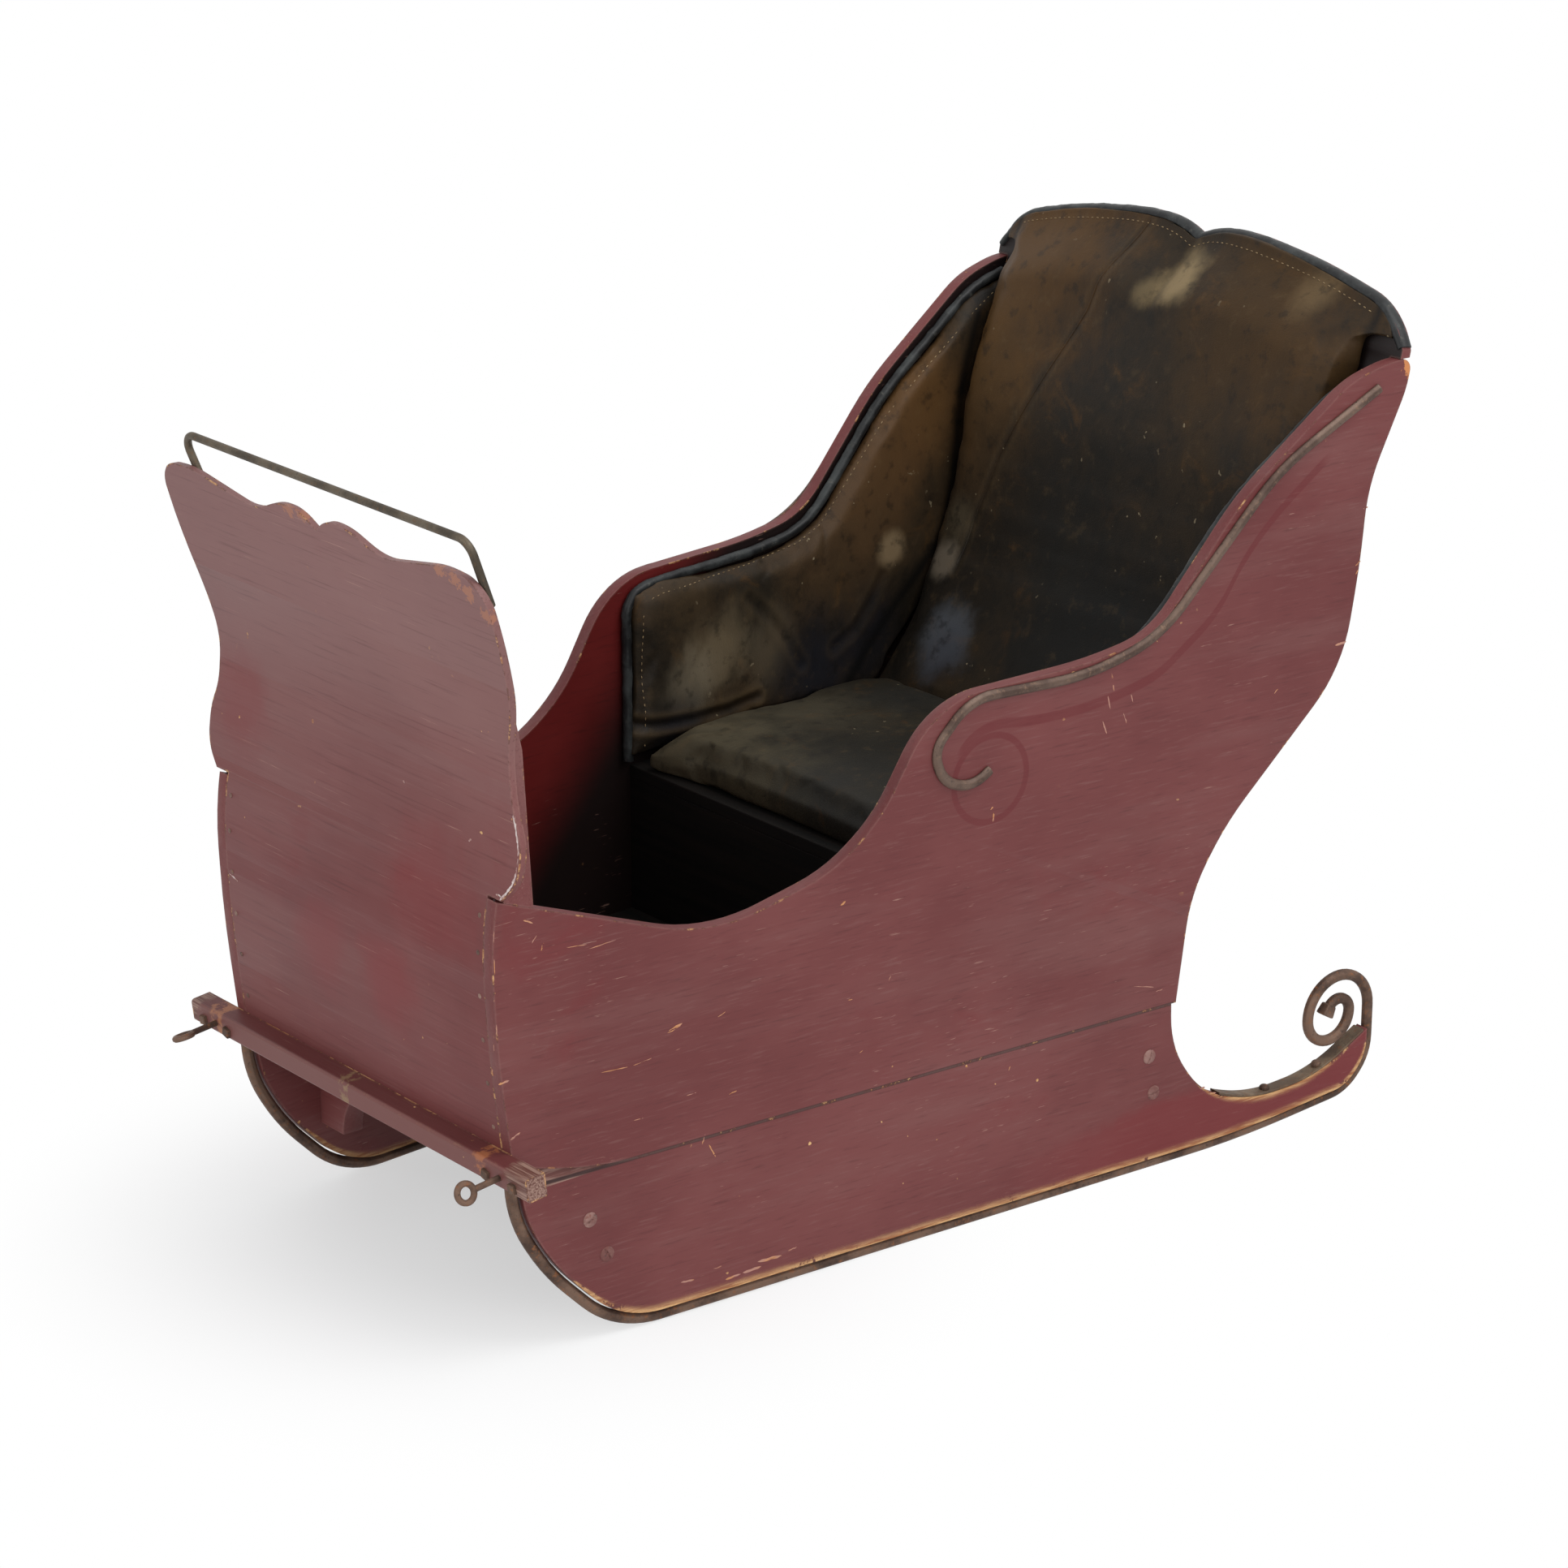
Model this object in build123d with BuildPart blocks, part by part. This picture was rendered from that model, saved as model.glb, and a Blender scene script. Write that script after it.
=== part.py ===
# A child's cutter sleigh: board sides on wooden runners, bent dash and back, padded seat.
# X runs forward, Y to the child's left, Z up; the origin is on the ground at mid length.
import os
from math import atan2, cos, radians, sin, tan

from build123d import *

os.makedirs("parts", exist_ok=True)

# Driving dimensions, in mm and degrees
# Stations run back from the cross bar's front edge, heights run up from the ground.
front_x = 449.2                # station 0 in the sleigh's frame
front_half_width = 191.0       # half width over the boards at station 0, at the joint
taper = radians(3.9)           # each side widens towards the rear
joint_height = 150.0           # joint between side board and runner board
fit_gap = 0.3                  # clearance along curved or soft faces that meet

side_thickness = 12.0
shoulder_height = 395.5        # side board at the dash
waist_station = 214.0
waist_height = 321.0           # lowest of the side board's top edge
arm_front = 431.0
arm_rear = 659.5
arm_height = 472.5
back_station = 932.0           # rear top corner of the side board
back_height = 680.5
corner_reach = 26.0            # rounding of the rear top corner
heel_station = 692.0           # rear lower corner of the side board

dash_thickness = 6.0
dash_foot_station = 27.0
dash_bulge = 18.0              # lower part of the dash ahead of its foot
dash_flare = 43.0              # crest of the dash ahead of its foot
dash_crest_height = 660.0
dash_crest_half_width = 220.0
dash_bump_half_width = 214.0
dash_waist_half_width = 197.0
stile_rear = ((48.0, 385.0), (41.0, 510.0), (13.0, 638.0))  # rear edge behind the dash: station, height
dash_rail_diameter = 6.4
dash_rail_height = 686.0       # rail's centre line
dash_rail_bend = 14.0
dash_rail_leg = 54.0
dash_rail_ends = (("right", -172.0, -184.0), ("left", 210.0, 204.0))  # hand, foot and top across

back_thickness = 10.0
crest_rise = 70.0              # top of the back above the side boards

floor_thickness = 12.0
seat_height = 297.0            # top of the seat board
seat_thickness = 12.0
seat_front_station = 449.0
seat_front_thickness = 12.0

runner_thickness = 13.0
toe_gap = 1.5                  # runner's toe stands off its shoe
toe_rise_station = 32.5        # front of the toe's rise under the side board
chamfer_length = 110.0         # stopped chamfer on the toe's outer top edge
chamfer_foot_height = 146.0
chamfer_top_height = 168.0
chamfer_depth = 7.0
upright_station = 687.0        # runner's rear upright edge
tail_station = 915.0           # tip of the runner's tail
tail_tip_height = 72.0
brace_thickness = 20.0
brace_height = 90.0
brace_arch_height = 52.0
brace_leg_width = 34.0
brace_front_station = 106.0
brace_rear_station = 667.0

shoe_diameter = 9.5
shoe_toe_station = 25.0        # centre of the iron shoe under the cross bar
scroll_rise = 20.5             # from the tail's tip to the scroll's first turn
scroll_turns = ((35.0, 180.0), (24.0, 180.0), (13.0, 150.0))  # radius, degrees turned
strap_thickness = 2.0
strap_station = 745.0          # front end of the iron strap on the tail

bar_length = 472.0
bar_height = 20.0
bar_depth = 18.5
bar_foot_height = 163.0        # lower back edge of the cross bar
eye_inset = 36.0               # eye in from the end of the cross bar
eye_reach = 32.0               # eye's centre in front of the cross bar
eye_wire_diameter = 5.0
eye_bore_diameter = 10.0
eye_rolls = (("left", 1, 20.0), ("right", -1, 70.0))  # hand, sign of Y, turn about the shank

trim_width = 9.0               # half round iron on the side boards

pad_thickness = 14.0           # padding on the side boards
back_pad_thickness = 40.0
side_pad_front = 436.0
cushion_front = 442.0
cushion_thickness = 26.0

across = 1000.0                # larger than the sleigh, for cutting bodies


def between(start, end, share):
    return start + (end - start) * share


def at(station, height):
    return (front_x - station, height)


def unit(start, end):
    return (Vector(*end) - Vector(*start)).normalized()


# A curve is a control polygon whose corners are rounded by the largest arcs that fit.
# A shift moves the whole curve to the left of its direction, arcs and runs alike.
def curve(points, shift=0.0, mid_share=0.45, end_share=0.9):
    last = len(points) - 1
    runs = [unit(a, b) for a, b in zip(points, points[1:])]
    lengths = [(Vector(*b) - Vector(*a)).length for a, b in zip(points, points[1:])]
    lefts = [Vector(-run.Y, run.X) for run in runs]
    corners = [Vector(*points[0]) + lefts[0] * shift]
    radii = []
    for i in range(1, last):
        turn = atan2(runs[i - 1].cross(runs[i]).Z, runs[i - 1].dot(runs[i]))
        reach_in = lengths[i - 1] * (end_share if i == 1 else mid_share)
        reach_out = lengths[i] * (end_share if i == last - 1 else mid_share)
        radius = min(reach_in, reach_out) / tan(abs(turn) / 2)
        radii.append(radius - shift if turn > 0 else radius + shift)
        bisector = lefts[i - 1] + lefts[i]
        corners.append(Vector(*points[i]) + bisector * (shift / (1 + lefts[i - 1].dot(lefts[i]))))
    corners.append(Vector(*points[last]) + lefts[-1] * shift)
    return FilletPolyline(*[(c.X, c.Y) for c in corners], radius=radii)


# A strip of even thickness beside a curve, as for a bent board or strap
def strip(points, shift_from, shift_to):
    with BuildLine() as edge:
        first = curve(points, shift_from)
        second = curve(points, shift_to)
        Line(first @ 0, second @ 0)
        Line(first @ 1, second @ 1)
    make_face(edge.edges())


# Section of a bent rod, with eight flats
def rod_section(diameter):
    RegularPolygon(diameter / 2, 8, major_radius=False, rotation=22.5)


# Upright face of a board on one hand, moved inwards: x runs back along it, y is the height on it
def board_plane(inset, hand=1):
    back = Vector(-cos(taper), hand * sin(taper), 0)
    out = Vector(sin(taper), hand * cos(taper), 0)
    return Plane(Vector(front_x, hand * front_half_width, 0) - out * inset, x_dir=back, z_dir=out)


outer_face = board_plane(0)
outer_faces = [board_plane(0, hand) for hand in (1, -1)]
within_sides = [board_plane(side_thickness, hand) for hand in (1, -1)]
within_runners = [board_plane(runner_thickness, hand) for hand in (1, -1)]
pad_inset = side_thickness + fit_gap + pad_thickness + fit_gap
within_pads = [board_plane(pad_inset, hand) for hand in (1, -1)]


def trim_to(planes):
    for plane in planes:
        split(bisect_by=plane, keep=Keep.BOTTOM)


# Front face of the dash, from its foot to its crest: it bulges, draws in and flares
bulge_shares = ((0.0, 0.0), (0.8, 0.49), (1.0, 0.87))  # ahead of the foot, height to the shoulder
flare_shares = ((0.07, 0.16), (0.05, 0.50), (1.0, 1.03))  # ahead of the foot, height to the crest
dash_line = []
for ahead_share, height_share in bulge_shares:
    height_here = between(joint_height, shoulder_height, height_share)
    dash_line.append(at(dash_foot_station - dash_bulge * ahead_share, height_here))
for ahead_share, height_share in flare_shares:
    height_here = between(shoulder_height, dash_crest_height, height_share)
    dash_line.append(at(dash_foot_station - dash_flare * ahead_share, height_here))

# Rear face of the back and of the side boards, from the heel up: an S that ends upright
back_shares = ((0.055, 0.18), (0.203, 0.284), (0.73, 0.504), (0.795, 0.68), (0.816, 0.80))  # station, height
back_line = [at(heel_station, joint_height)]
for station_share, height_share in back_shares:
    back_station_here = between(heel_station, back_station, station_share)
    back_line.append(at(back_station_here, between(joint_height, back_height, height_share)))
back_line.append(at(back_station - 1, back_height))
back_line.append(at(back_station + 3, back_height + 1.2 * crest_rise))


# Space ahead of a face of the dash, and space behind a face in front of the back
def ahead_of_dash(inset, mode):
    with BuildSketch(Plane.XZ) as space:
        with BuildLine():
            face = curve(dash_line, inset)
            Polyline(face @ 1, at(-across, across), at(-across, 0), at(dash_foot_station + inset, 0), face @ 0)
        make_face()
    extrude(space.sketch, amount=across, both=True, mode=mode)


def behind_back(inset, mode):
    with BuildSketch(Plane.XZ) as space:
        with BuildLine():
            face = curve(back_line, -inset)
            Polyline(face @ 1, at(2 * across, across), at(2 * across, 0), at(heel_station, 0), face @ 0)
        make_face()
    extrude(space.sketch, amount=across, both=True, mode=mode)


# Lower edge of a side board at its front, raised above the joint, and its outline in its own face
lower_front = [(150, joint_height), (95, joint_height + 0.5), (-60, joint_height + 47)]


def side_outline():
    rise_shares = ((0.33, 0.55), (0.52, 0.73), (0.75, 0.945))  # arm to back: station, height
    top = [
        (-55, shoulder_height + 23),
        (waist_station, waist_height),
        (between(waist_station, arm_front, 0.53), between(waist_height, arm_height, 0.18)),
        (between(waist_station, arm_front, 0.75), between(waist_height, arm_height, 0.41)),
        (arm_front, arm_height - 2),
        (between(arm_front, arm_rear, 0.71), arm_height + 2),
        (arm_rear, arm_height + 13),
    ]
    for station_share, height_share in rise_shares:
        rise_station = between(arm_rear, back_station, station_share)
        top.append((rise_station, between(arm_height, back_height, height_share)))
    top.append((back_station - corner_reach, back_height - 1))
    rear = [(back_station, back_height), (back_station - 5, back_height - corner_reach)]
    for station_share, height_share in reversed(back_shares):
        rear_station = between(heel_station, back_station, station_share)
        rear.append((rear_station, between(joint_height, back_height, height_share)))
    rear.append((heel_station, joint_height))
    with BuildLine() as edge:
        curve(top + rear)
        Line(rear[-1], lower_front[0])
        curve(lower_front)
        Line(lower_front[-1], top[0])
    make_face(edge.edges())


with BuildPart() as side_panel_left:
    with BuildSketch(outer_face):
        side_outline()
    extrude(amount=-side_thickness)
    ahead_of_dash(0, Mode.SUBTRACT)


# Space that the left side board takes from a board between the sides, up to a height
def space_beside(height):
    with BuildPart() as beside:
        with BuildSketch(within_sides[0]):
            with Locations((0, height)):
                Rectangle(2 * across, 2 * across, align=(Align.CENTER, Align.MAX))
        extrude(amount=across)
    return beside.part


beside_dash = space_beside(shoulder_height)
beside_back = space_beside(back_height)

# Dashboard: a bent board cut to its outline, its lower part let in between the sides
with BuildPart() as dashboard:
    with BuildSketch(Plane.XZ):
        strip(dash_line, 0, dash_thickness)
    extrude(amount=across, both=True)
    edge_shares = (  # half width, height from shoulder to crest
        (dash_waist_half_width, 0.0),
        (dash_bump_half_width, 0.065),
        (dash_bump_half_width, 0.18),
        (between(dash_waist_half_width, dash_bump_half_width, 0.3), 0.27),
        (dash_waist_half_width, 0.42),
        (between(dash_waist_half_width, dash_crest_half_width, 0.77), 0.64),
        (dash_crest_half_width, 0.80),
        (dash_crest_half_width, 0.93),
        (dash_crest_half_width * 0.93, 0.99),
        (dash_crest_half_width * 0.78, 1.0),
        (dash_crest_half_width * 0.39, 0.94),
        (dash_crest_half_width * 0.21, 1.0),
        (dash_crest_half_width * 0.085, 1.0),
        (0.0, 0.95),
    )
    edge_curve = []
    for half_width, height_share in edge_shares:
        edge_curve.append((half_width, between(shoulder_height, dash_crest_height, height_share)))
    with BuildSketch(Plane.YZ):
        with BuildLine():
            half = curve(edge_curve)
            Polyline(half @ 1, (0, 0), (dash_waist_half_width, 0), half @ 0)
        make_face()
        mirror(about=Plane.YZ)
    extrude(amount=across, both=True, mode=Mode.INTERSECT)
    add(beside_dash, mode=Mode.SUBTRACT)
    mirror(beside_dash, about=Plane.XZ, mode=Mode.SUBTRACT)

# Stile behind the dash's edge: curved with the dash in front, standing on the side board
with BuildPart() as dash_stile_left:
    (stile_foot, _), _, (_, stile_top) = stile_rear
    with BuildSketch(outer_face):
        with BuildLine():
            stile_base = [(-across, waist_height), (stile_foot, waist_height)]
            Polyline(*stile_base, *stile_rear, (-across, stile_top), close=True)
        make_face()
    extrude(amount=-side_thickness)
    ahead_of_dash(dash_thickness + fit_gap, Mode.SUBTRACT)
    add(side_panel_left.part, mode=Mode.SUBTRACT)

# Back: a bent board between the sides, with a bowed crest
with BuildPart() as back_panel:
    with BuildSketch(Plane.XZ):
        strip(back_line, 0, -back_thickness)
    extrude(amount=across, both=True)
    trim_to(outer_faces)
    add(beside_back, mode=Mode.SUBTRACT)
    mirror(beside_back, about=Plane.XZ, mode=Mode.SUBTRACT)
    crest_shares = (  # half width of the back, rise to its crest
        (1.02, -0.3),
        (1.0, 0.18),
        (0.886, 0.62),
        (0.59, 0.887),
        (0.276, 1.03),
        (0.087, 1.014),
        (0.0, 0.86),
    )
    back_half_width = front_half_width + back_station * tan(taper)
    crest_curve = [(back_half_width * across_share, back_height + crest_rise * rise_share)
                   for across_share, rise_share in crest_shares]
    with BuildSketch(Plane.YZ):
        with BuildLine():
            half = curve(crest_curve)
            Polyline(half @ 1, (0, 0), ((half @ 0).X, 0), half @ 0)
        make_face()
        mirror(about=Plane.YZ)
    extrude(amount=2 * across, both=True, mode=Mode.INTERSECT)
    with BuildSketch(Plane.XY):
        Rectangle(2 * across, 2 * across)
    extrude(amount=joint_height + floor_thickness, mode=Mode.SUBTRACT)

# Floor on the runners' inner ledges, from the dash to the heel
dash_up = unit(dash_line[0], dash_line[1])
dash_back_foot = Vector(*dash_line[0]) + Vector(-dash_up.Y, dash_up.X) * dash_thickness
dash_back_plane = Plane(
    (dash_back_foot.X, 0, dash_back_foot.Y), x_dir=(0, 1, 0), z_dir=(dash_up.Y, 0, -dash_up.X)
)
with BuildPart() as floor_board:
    with BuildSketch(Plane.XY.offset(joint_height)):
        Rectangle(2 * across, 2 * across)
    extrude(amount=floor_thickness)
    trim_to(within_sides)
    trim_to([dash_back_plane])
    split(bisect_by=Plane.YZ.offset(front_x - heel_station), keep=Keep.TOP)

with BuildPart() as seat_board:
    with BuildSketch(Plane.XY.offset(seat_height - seat_thickness)):
        Rectangle(2 * across, 2 * across)
    extrude(amount=seat_thickness)
    trim_to(within_sides)
    trim_to([Plane.YZ.offset(front_x - seat_front_station)])
    behind_back(back_thickness + fit_gap, Mode.SUBTRACT)

with BuildPart() as seat_front:
    with BuildSketch(Plane.YZ.offset(front_x - seat_front_station)):
        with BuildLine():
            top_height = seat_height - seat_thickness
            floor_top = joint_height + floor_thickness
            corners = [(-across, floor_top), (across, floor_top), (across, top_height), (-across, top_height)]
            Polyline(*corners, close=True)
        make_face()
    extrude(amount=-seat_front_thickness)
    trim_to(within_sides)

# Runner boards: toe, level edge under the side, upright and tail
tail_shares = ((0.004, 0.727), (0.171, 0.373), (0.44, 0.24), (0.755, 0.273))  # station, of the joint height
tail_line = [(upright_station, joint_height)]
for station_share, height_share in tail_shares:
    tail_line.append((between(upright_station, tail_station, station_share), joint_height * height_share))
tail_line.append((tail_station, tail_tip_height))

# Centre line of the iron shoe in the runner's middle plane: toe, level run and tail
shoe_radius = shoe_diameter / 2
tip_station = tail_station + shoe_radius + fit_gap
shoe_toe = [
    (shoe_toe_station, joint_height + 20),
    (shoe_toe_station + 2, joint_height * 0.83),
    (shoe_toe_station + 33, joint_height * 0.47),
    (shoe_toe_station + 97, shoe_radius),
]
shoe_tail = [
    (upright_station + 83, shoe_radius),
    (tip_station - 24, tail_tip_height * 0.25),
    (tip_station, tail_tip_height * 0.64),
    (tip_station, tail_tip_height),
]
with BuildPart() as toe_rise:
    with BuildSketch(outer_face):
        with BuildLine():
            rise = curve(lower_front)
            Polyline(rise @ 1, (lower_front[-1][0], joint_height), rise @ 0)
        make_face()
    extrude(amount=-side_thickness)
    trim_to([Plane.YZ.offset(front_x - toe_rise_station)])

with BuildPart() as runner_left:
    with BuildSketch(outer_face):
        with BuildLine():
            toe = curve(shoe_toe + [(brace_rear_station / 2, shoe_radius)], shoe_radius + toe_gap)
            sole = curve([(upright_station, shoe_radius)] + shoe_tail, shoe_radius + fit_gap)
            tail = curve(tail_line)
            Line(toe @ 1, sole @ 0)
            Line(tail @ 0, toe @ 0)
        make_face()
    extrude(amount=-runner_thickness)
    trim_to([Plane.XY.offset(joint_height)])
    add(toe_rise.part)
    chamfer_end = outer_face.from_local_coords((shoe_toe_station + chamfer_length, joint_height, 0))
    chamfer_foot = outer_face.from_local_coords((shoe_toe_station, chamfer_foot_height, 0))
    chamfer_top = outer_face.from_local_coords((shoe_toe_station, chamfer_top_height, -chamfer_depth))
    chamfer_normal = (chamfer_foot - chamfer_end).cross(chamfer_top - chamfer_end)
    trim_to([Plane(chamfer_end, z_dir=chamfer_normal * -1)])

# Cross bar, flat against the foot of the dash and the sides' front edges
bar_share = (bar_foot_height - joint_height) / (dash_line[1][1] - dash_line[0][1])
bar_foot = Vector(*dash_line[0]) + (Vector(*dash_line[1]) - Vector(*dash_line[0])) * bar_share
bar_seat = Plane((bar_foot.X, 0, bar_foot.Y), x_dir=(dash_up.Y, 0, -dash_up.X), z_dir=(0, -1, 0))
with BuildPart() as cross_bar:
    with BuildSketch(bar_seat):
        Rectangle(bar_depth, bar_height, align=(Align.MIN, Align.MIN))
    extrude(amount=bar_length / 2, both=True)
    fillet(cross_bar.edges().filter_by(Axis.Y).sort_by(Axis.X)[-2:], radius=3)

# Iron shoes: a rod bent under toe, runner and tail, ending in a scroll
bar_underside = Plane((bar_foot.X, 0, bar_foot.Y), x_dir=(0, 1, 0), z_dir=(dash_up.X, 0, dash_up.Y))
shoe_plane = board_plane(runner_thickness / 2)
with BuildPart() as shoe_left:
    with BuildLine(shoe_plane) as shoe_path:
        rod = curve(shoe_toe + shoe_tail)
        turn = Line(rod @ 1, (tip_station, tail_tip_height + scroll_rise))
        for radius, sweep_angle in scroll_turns:
            turn = JernArc(start=turn @ 1, tangent=turn % 1, radius=radius, arc_size=sweep_angle)
    with BuildSketch(Plane(shoe_path.line @ 0, x_dir=shoe_plane.z_dir, z_dir=shoe_path.line % 0)):
        rod_section(shoe_diameter)
    sweep(path=shoe_path.line)
    split(bisect_by=bar_underside, keep=Keep.BOTTOM)

with BuildPart() as tail_strap_left:
    with BuildSketch(outer_face):
        strip(tail_line, fit_gap, fit_gap + strap_thickness)
    extrude(amount=-runner_thickness)
    with BuildSketch(outer_face.offset(across)):
        with Locations((strap_station, 0)):
            Rectangle(across, across, align=(Align.MAX, Align.CENTER))
        with Locations((tail_station - 4, 0)):
            Rectangle(across, across, align=(Align.MIN, Align.CENTER))
    extrude(amount=-2 * across, mode=Mode.SUBTRACT)

# Half round trim on the side board, ending in a hook at the arm
with BuildPart() as trim_rod_left:
    trim_line = [
        (back_station - 37, back_height - 21),
        (between(arm_rear, back_station, 0.465), between(arm_height, back_height, 0.643)),
        (between(arm_rear, back_station, 0.26), between(arm_height, back_height, 0.38)),
        (arm_rear + 3, arm_height + 11),
        (arm_rear - 74, arm_height - 8),
        (arm_front + 33, arm_height - 5),
        (arm_front - 3, arm_height - 42),
        (arm_front + 8, arm_height - 71),
        (arm_front + 37, arm_height - 80),
        (arm_front + 55, arm_height - 69),
    ]
    with BuildLine(outer_face) as trim_path:
        curve(trim_line)
    with BuildSketch(Plane(trim_path.line @ 0, x_dir=outer_face.z_dir, z_dir=trim_path.line % 0)):
        rod_section(trim_width)
        split(bisect_by=Plane.YZ, keep=Keep.TOP)
    sweep(path=trim_path.line)

# Rail on the back of the dash
dash_top_up = unit(dash_line[-2], dash_line[-1])
rail_shift = dash_thickness + fit_gap + dash_rail_diameter / 2
rail_foot = Vector(*dash_line[-1]) + Vector(-dash_top_up.Y, dash_top_up.X) * rail_shift
rail_plane = Plane((rail_foot.X, 0, rail_foot.Y), x_dir=(0, 1, 0), z_dir=(dash_top_up.Y, 0, -dash_top_up.X))
rail_top = (dash_rail_height - rail_foot.Y) / dash_top_up.Y
with BuildPart() as dash_rail:
    with BuildLine(rail_plane) as rail_path:
        (_, right_foot, right_top), (_, left_foot, left_top) = dash_rail_ends
        corners = [
            (right_foot, rail_top - dash_rail_leg),
            (right_top, rail_top),
            (left_top, rail_top),
            (left_foot, rail_top - dash_rail_leg),
        ]
        FilletPolyline(*corners, radius=dash_rail_bend)
    with BuildSketch(Plane(rail_path.line @ 0, z_dir=rail_path.line % 0)):
        rod_section(dash_rail_diameter)
    sweep(path=rail_path.line)

# Padding: plain solids of the soft pieces' true size and place
with BuildPart() as side_pad_left:
    with BuildSketch(board_plane(side_thickness + fit_gap)):
        side_outline()
    extrude(amount=-pad_thickness)
    trim_to([Plane.YZ.offset(front_x - side_pad_front)])
    split(bisect_by=Plane.XY.offset(seat_height + fit_gap), keep=Keep.TOP)
    behind_back(back_thickness + fit_gap, Mode.SUBTRACT)

with BuildPart() as back_pad:
    with BuildSketch(Plane.XZ):
        strip(back_line, -back_thickness - fit_gap, -back_thickness - back_pad_thickness)
    extrude(amount=across, both=True)
    trim_to(within_pads)
    with BuildSketch(Plane.YZ):
        with BuildLine():
            half = curve([(y, height - 6) for y, height in crest_curve])
            Polyline(half @ 1, (0, 0), ((half @ 0).X, 0), half @ 0)
        make_face()
        mirror(about=Plane.YZ)
    extrude(amount=2 * across, both=True, mode=Mode.INTERSECT)
    split(bisect_by=Plane.XY.offset(seat_height + fit_gap), keep=Keep.TOP)

with BuildPart() as seat_cushion:
    with BuildSketch(Plane.XY.offset(seat_height + fit_gap)):
        Rectangle(2 * across, 2 * across)
    extrude(amount=cushion_thickness)
    trim_to(within_pads)
    trim_to([Plane.YZ.offset(front_x - cushion_front)])
    behind_back(back_thickness + back_pad_thickness + fit_gap, Mode.SUBTRACT)

# Pieces across the middle
single_pieces = {
    "dashboard": dashboard,
    "back_panel": back_panel,
    "floor_board": floor_board,
    "seat_board": seat_board,
    "seat_front": seat_front,
    "cross_bar": cross_bar,
    "dash_rail": dash_rail,
    "back_pad": back_pad,
    "seat_cushion": seat_cushion,
}
for name, piece in single_pieces.items():
    piece.part.label = name
    export_step(piece.part, f"parts/{name}.step")

# Arched braces between the runners, under the floor
brace_stations = {"cross_brace_front": brace_front_station, "cross_brace_rear": brace_rear_station}
for name, station in brace_stations.items():
    arch_half_width = front_half_width + station * tan(taper) - runner_thickness - brace_leg_width
    with BuildPart() as brace:
        with BuildSketch(Plane.YZ.offset(front_x - station)):
            with Locations((0, joint_height)):
                Rectangle(across, brace_height, align=(Align.CENTER, Align.MAX))
            with Locations((0, joint_height - brace_height)):
                SlotCenterToCenter(
                    2 * (arch_half_width - brace_arch_height), 2 * brace_arch_height, mode=Mode.SUBTRACT
                )
        extrude(amount=brace_thickness / 2, both=True)
        trim_to(within_runners)
    brace.part.label = name
    export_step(brace.part, f"parts/{name}.step")

# Eye bolts in the cross bar's ends
bar_ahead = bar_seat.x_dir
bar_front = Vector(bar_foot.X, 0, bar_foot.Y) + bar_ahead * bar_depth + bar_seat.y_dir * (bar_height / 2)
eye_radius = (eye_bore_diameter + eye_wire_diameter) / 2
for hand, sign, roll in eye_rolls:
    eye_axis = Vector(0, sign * cos(radians(roll)), 0) + bar_seat.y_dir * sin(radians(roll))
    eye_centre = bar_front + bar_ahead * eye_reach + Vector(0, sign * (bar_length / 2 - eye_inset), 0)
    eye_plane = Plane(eye_centre, x_dir=bar_ahead, z_dir=eye_axis)
    shank_start = eye_centre - bar_ahead * eye_radius
    with BuildPart() as eye_bolt:
        with BuildSketch(Plane(shank_start, x_dir=eye_axis, z_dir=eye_plane.y_dir)):
            rod_section(eye_wire_diameter)
        revolve(axis=Axis(eye_centre, eye_axis))
        with BuildSketch(Plane(shank_start, x_dir=eye_axis, z_dir=bar_ahead * -1)):
            rod_section(eye_wire_diameter)
        extrude(amount=eye_reach - eye_radius)
    eye_bolt.part.label = f"eye_bolt_{hand}"
    export_step(eye_bolt.part, f"parts/eye_bolt_{hand}.step")

# Pieces that come in pairs, the right one mirrored from the left
paired_pieces = {
    "side_panel": side_panel_left,
    "dash_stile": dash_stile_left,
    "runner": runner_left,
    "shoe": shoe_left,
    "tail_strap": tail_strap_left,
    "trim_rod": trim_rod_left,
    "side_pad": side_pad_left,
}
for name, left in paired_pieces.items():
    left.part.label = f"{name}_left"
    export_step(left.part, f"parts/{name}_left.step")
    with BuildPart() as right:
        mirror(left.part, about=Plane.XZ)
    right.part.label = f"{name}_right"
    export_step(right.part, f"parts/{name}_right.step")
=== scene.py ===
# A child's cutter sleigh, dressed for its picture: worn maroon paint on boards, rusted iron
# rods and straps, and old rubbed leather padding, in the order in which it is put together.
import math
import random

import bmesh
import bpy
import numpy as np
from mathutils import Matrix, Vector
from mathutils.bvhtree import BVHTree
from mathutils.noise import noise as cloud


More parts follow.
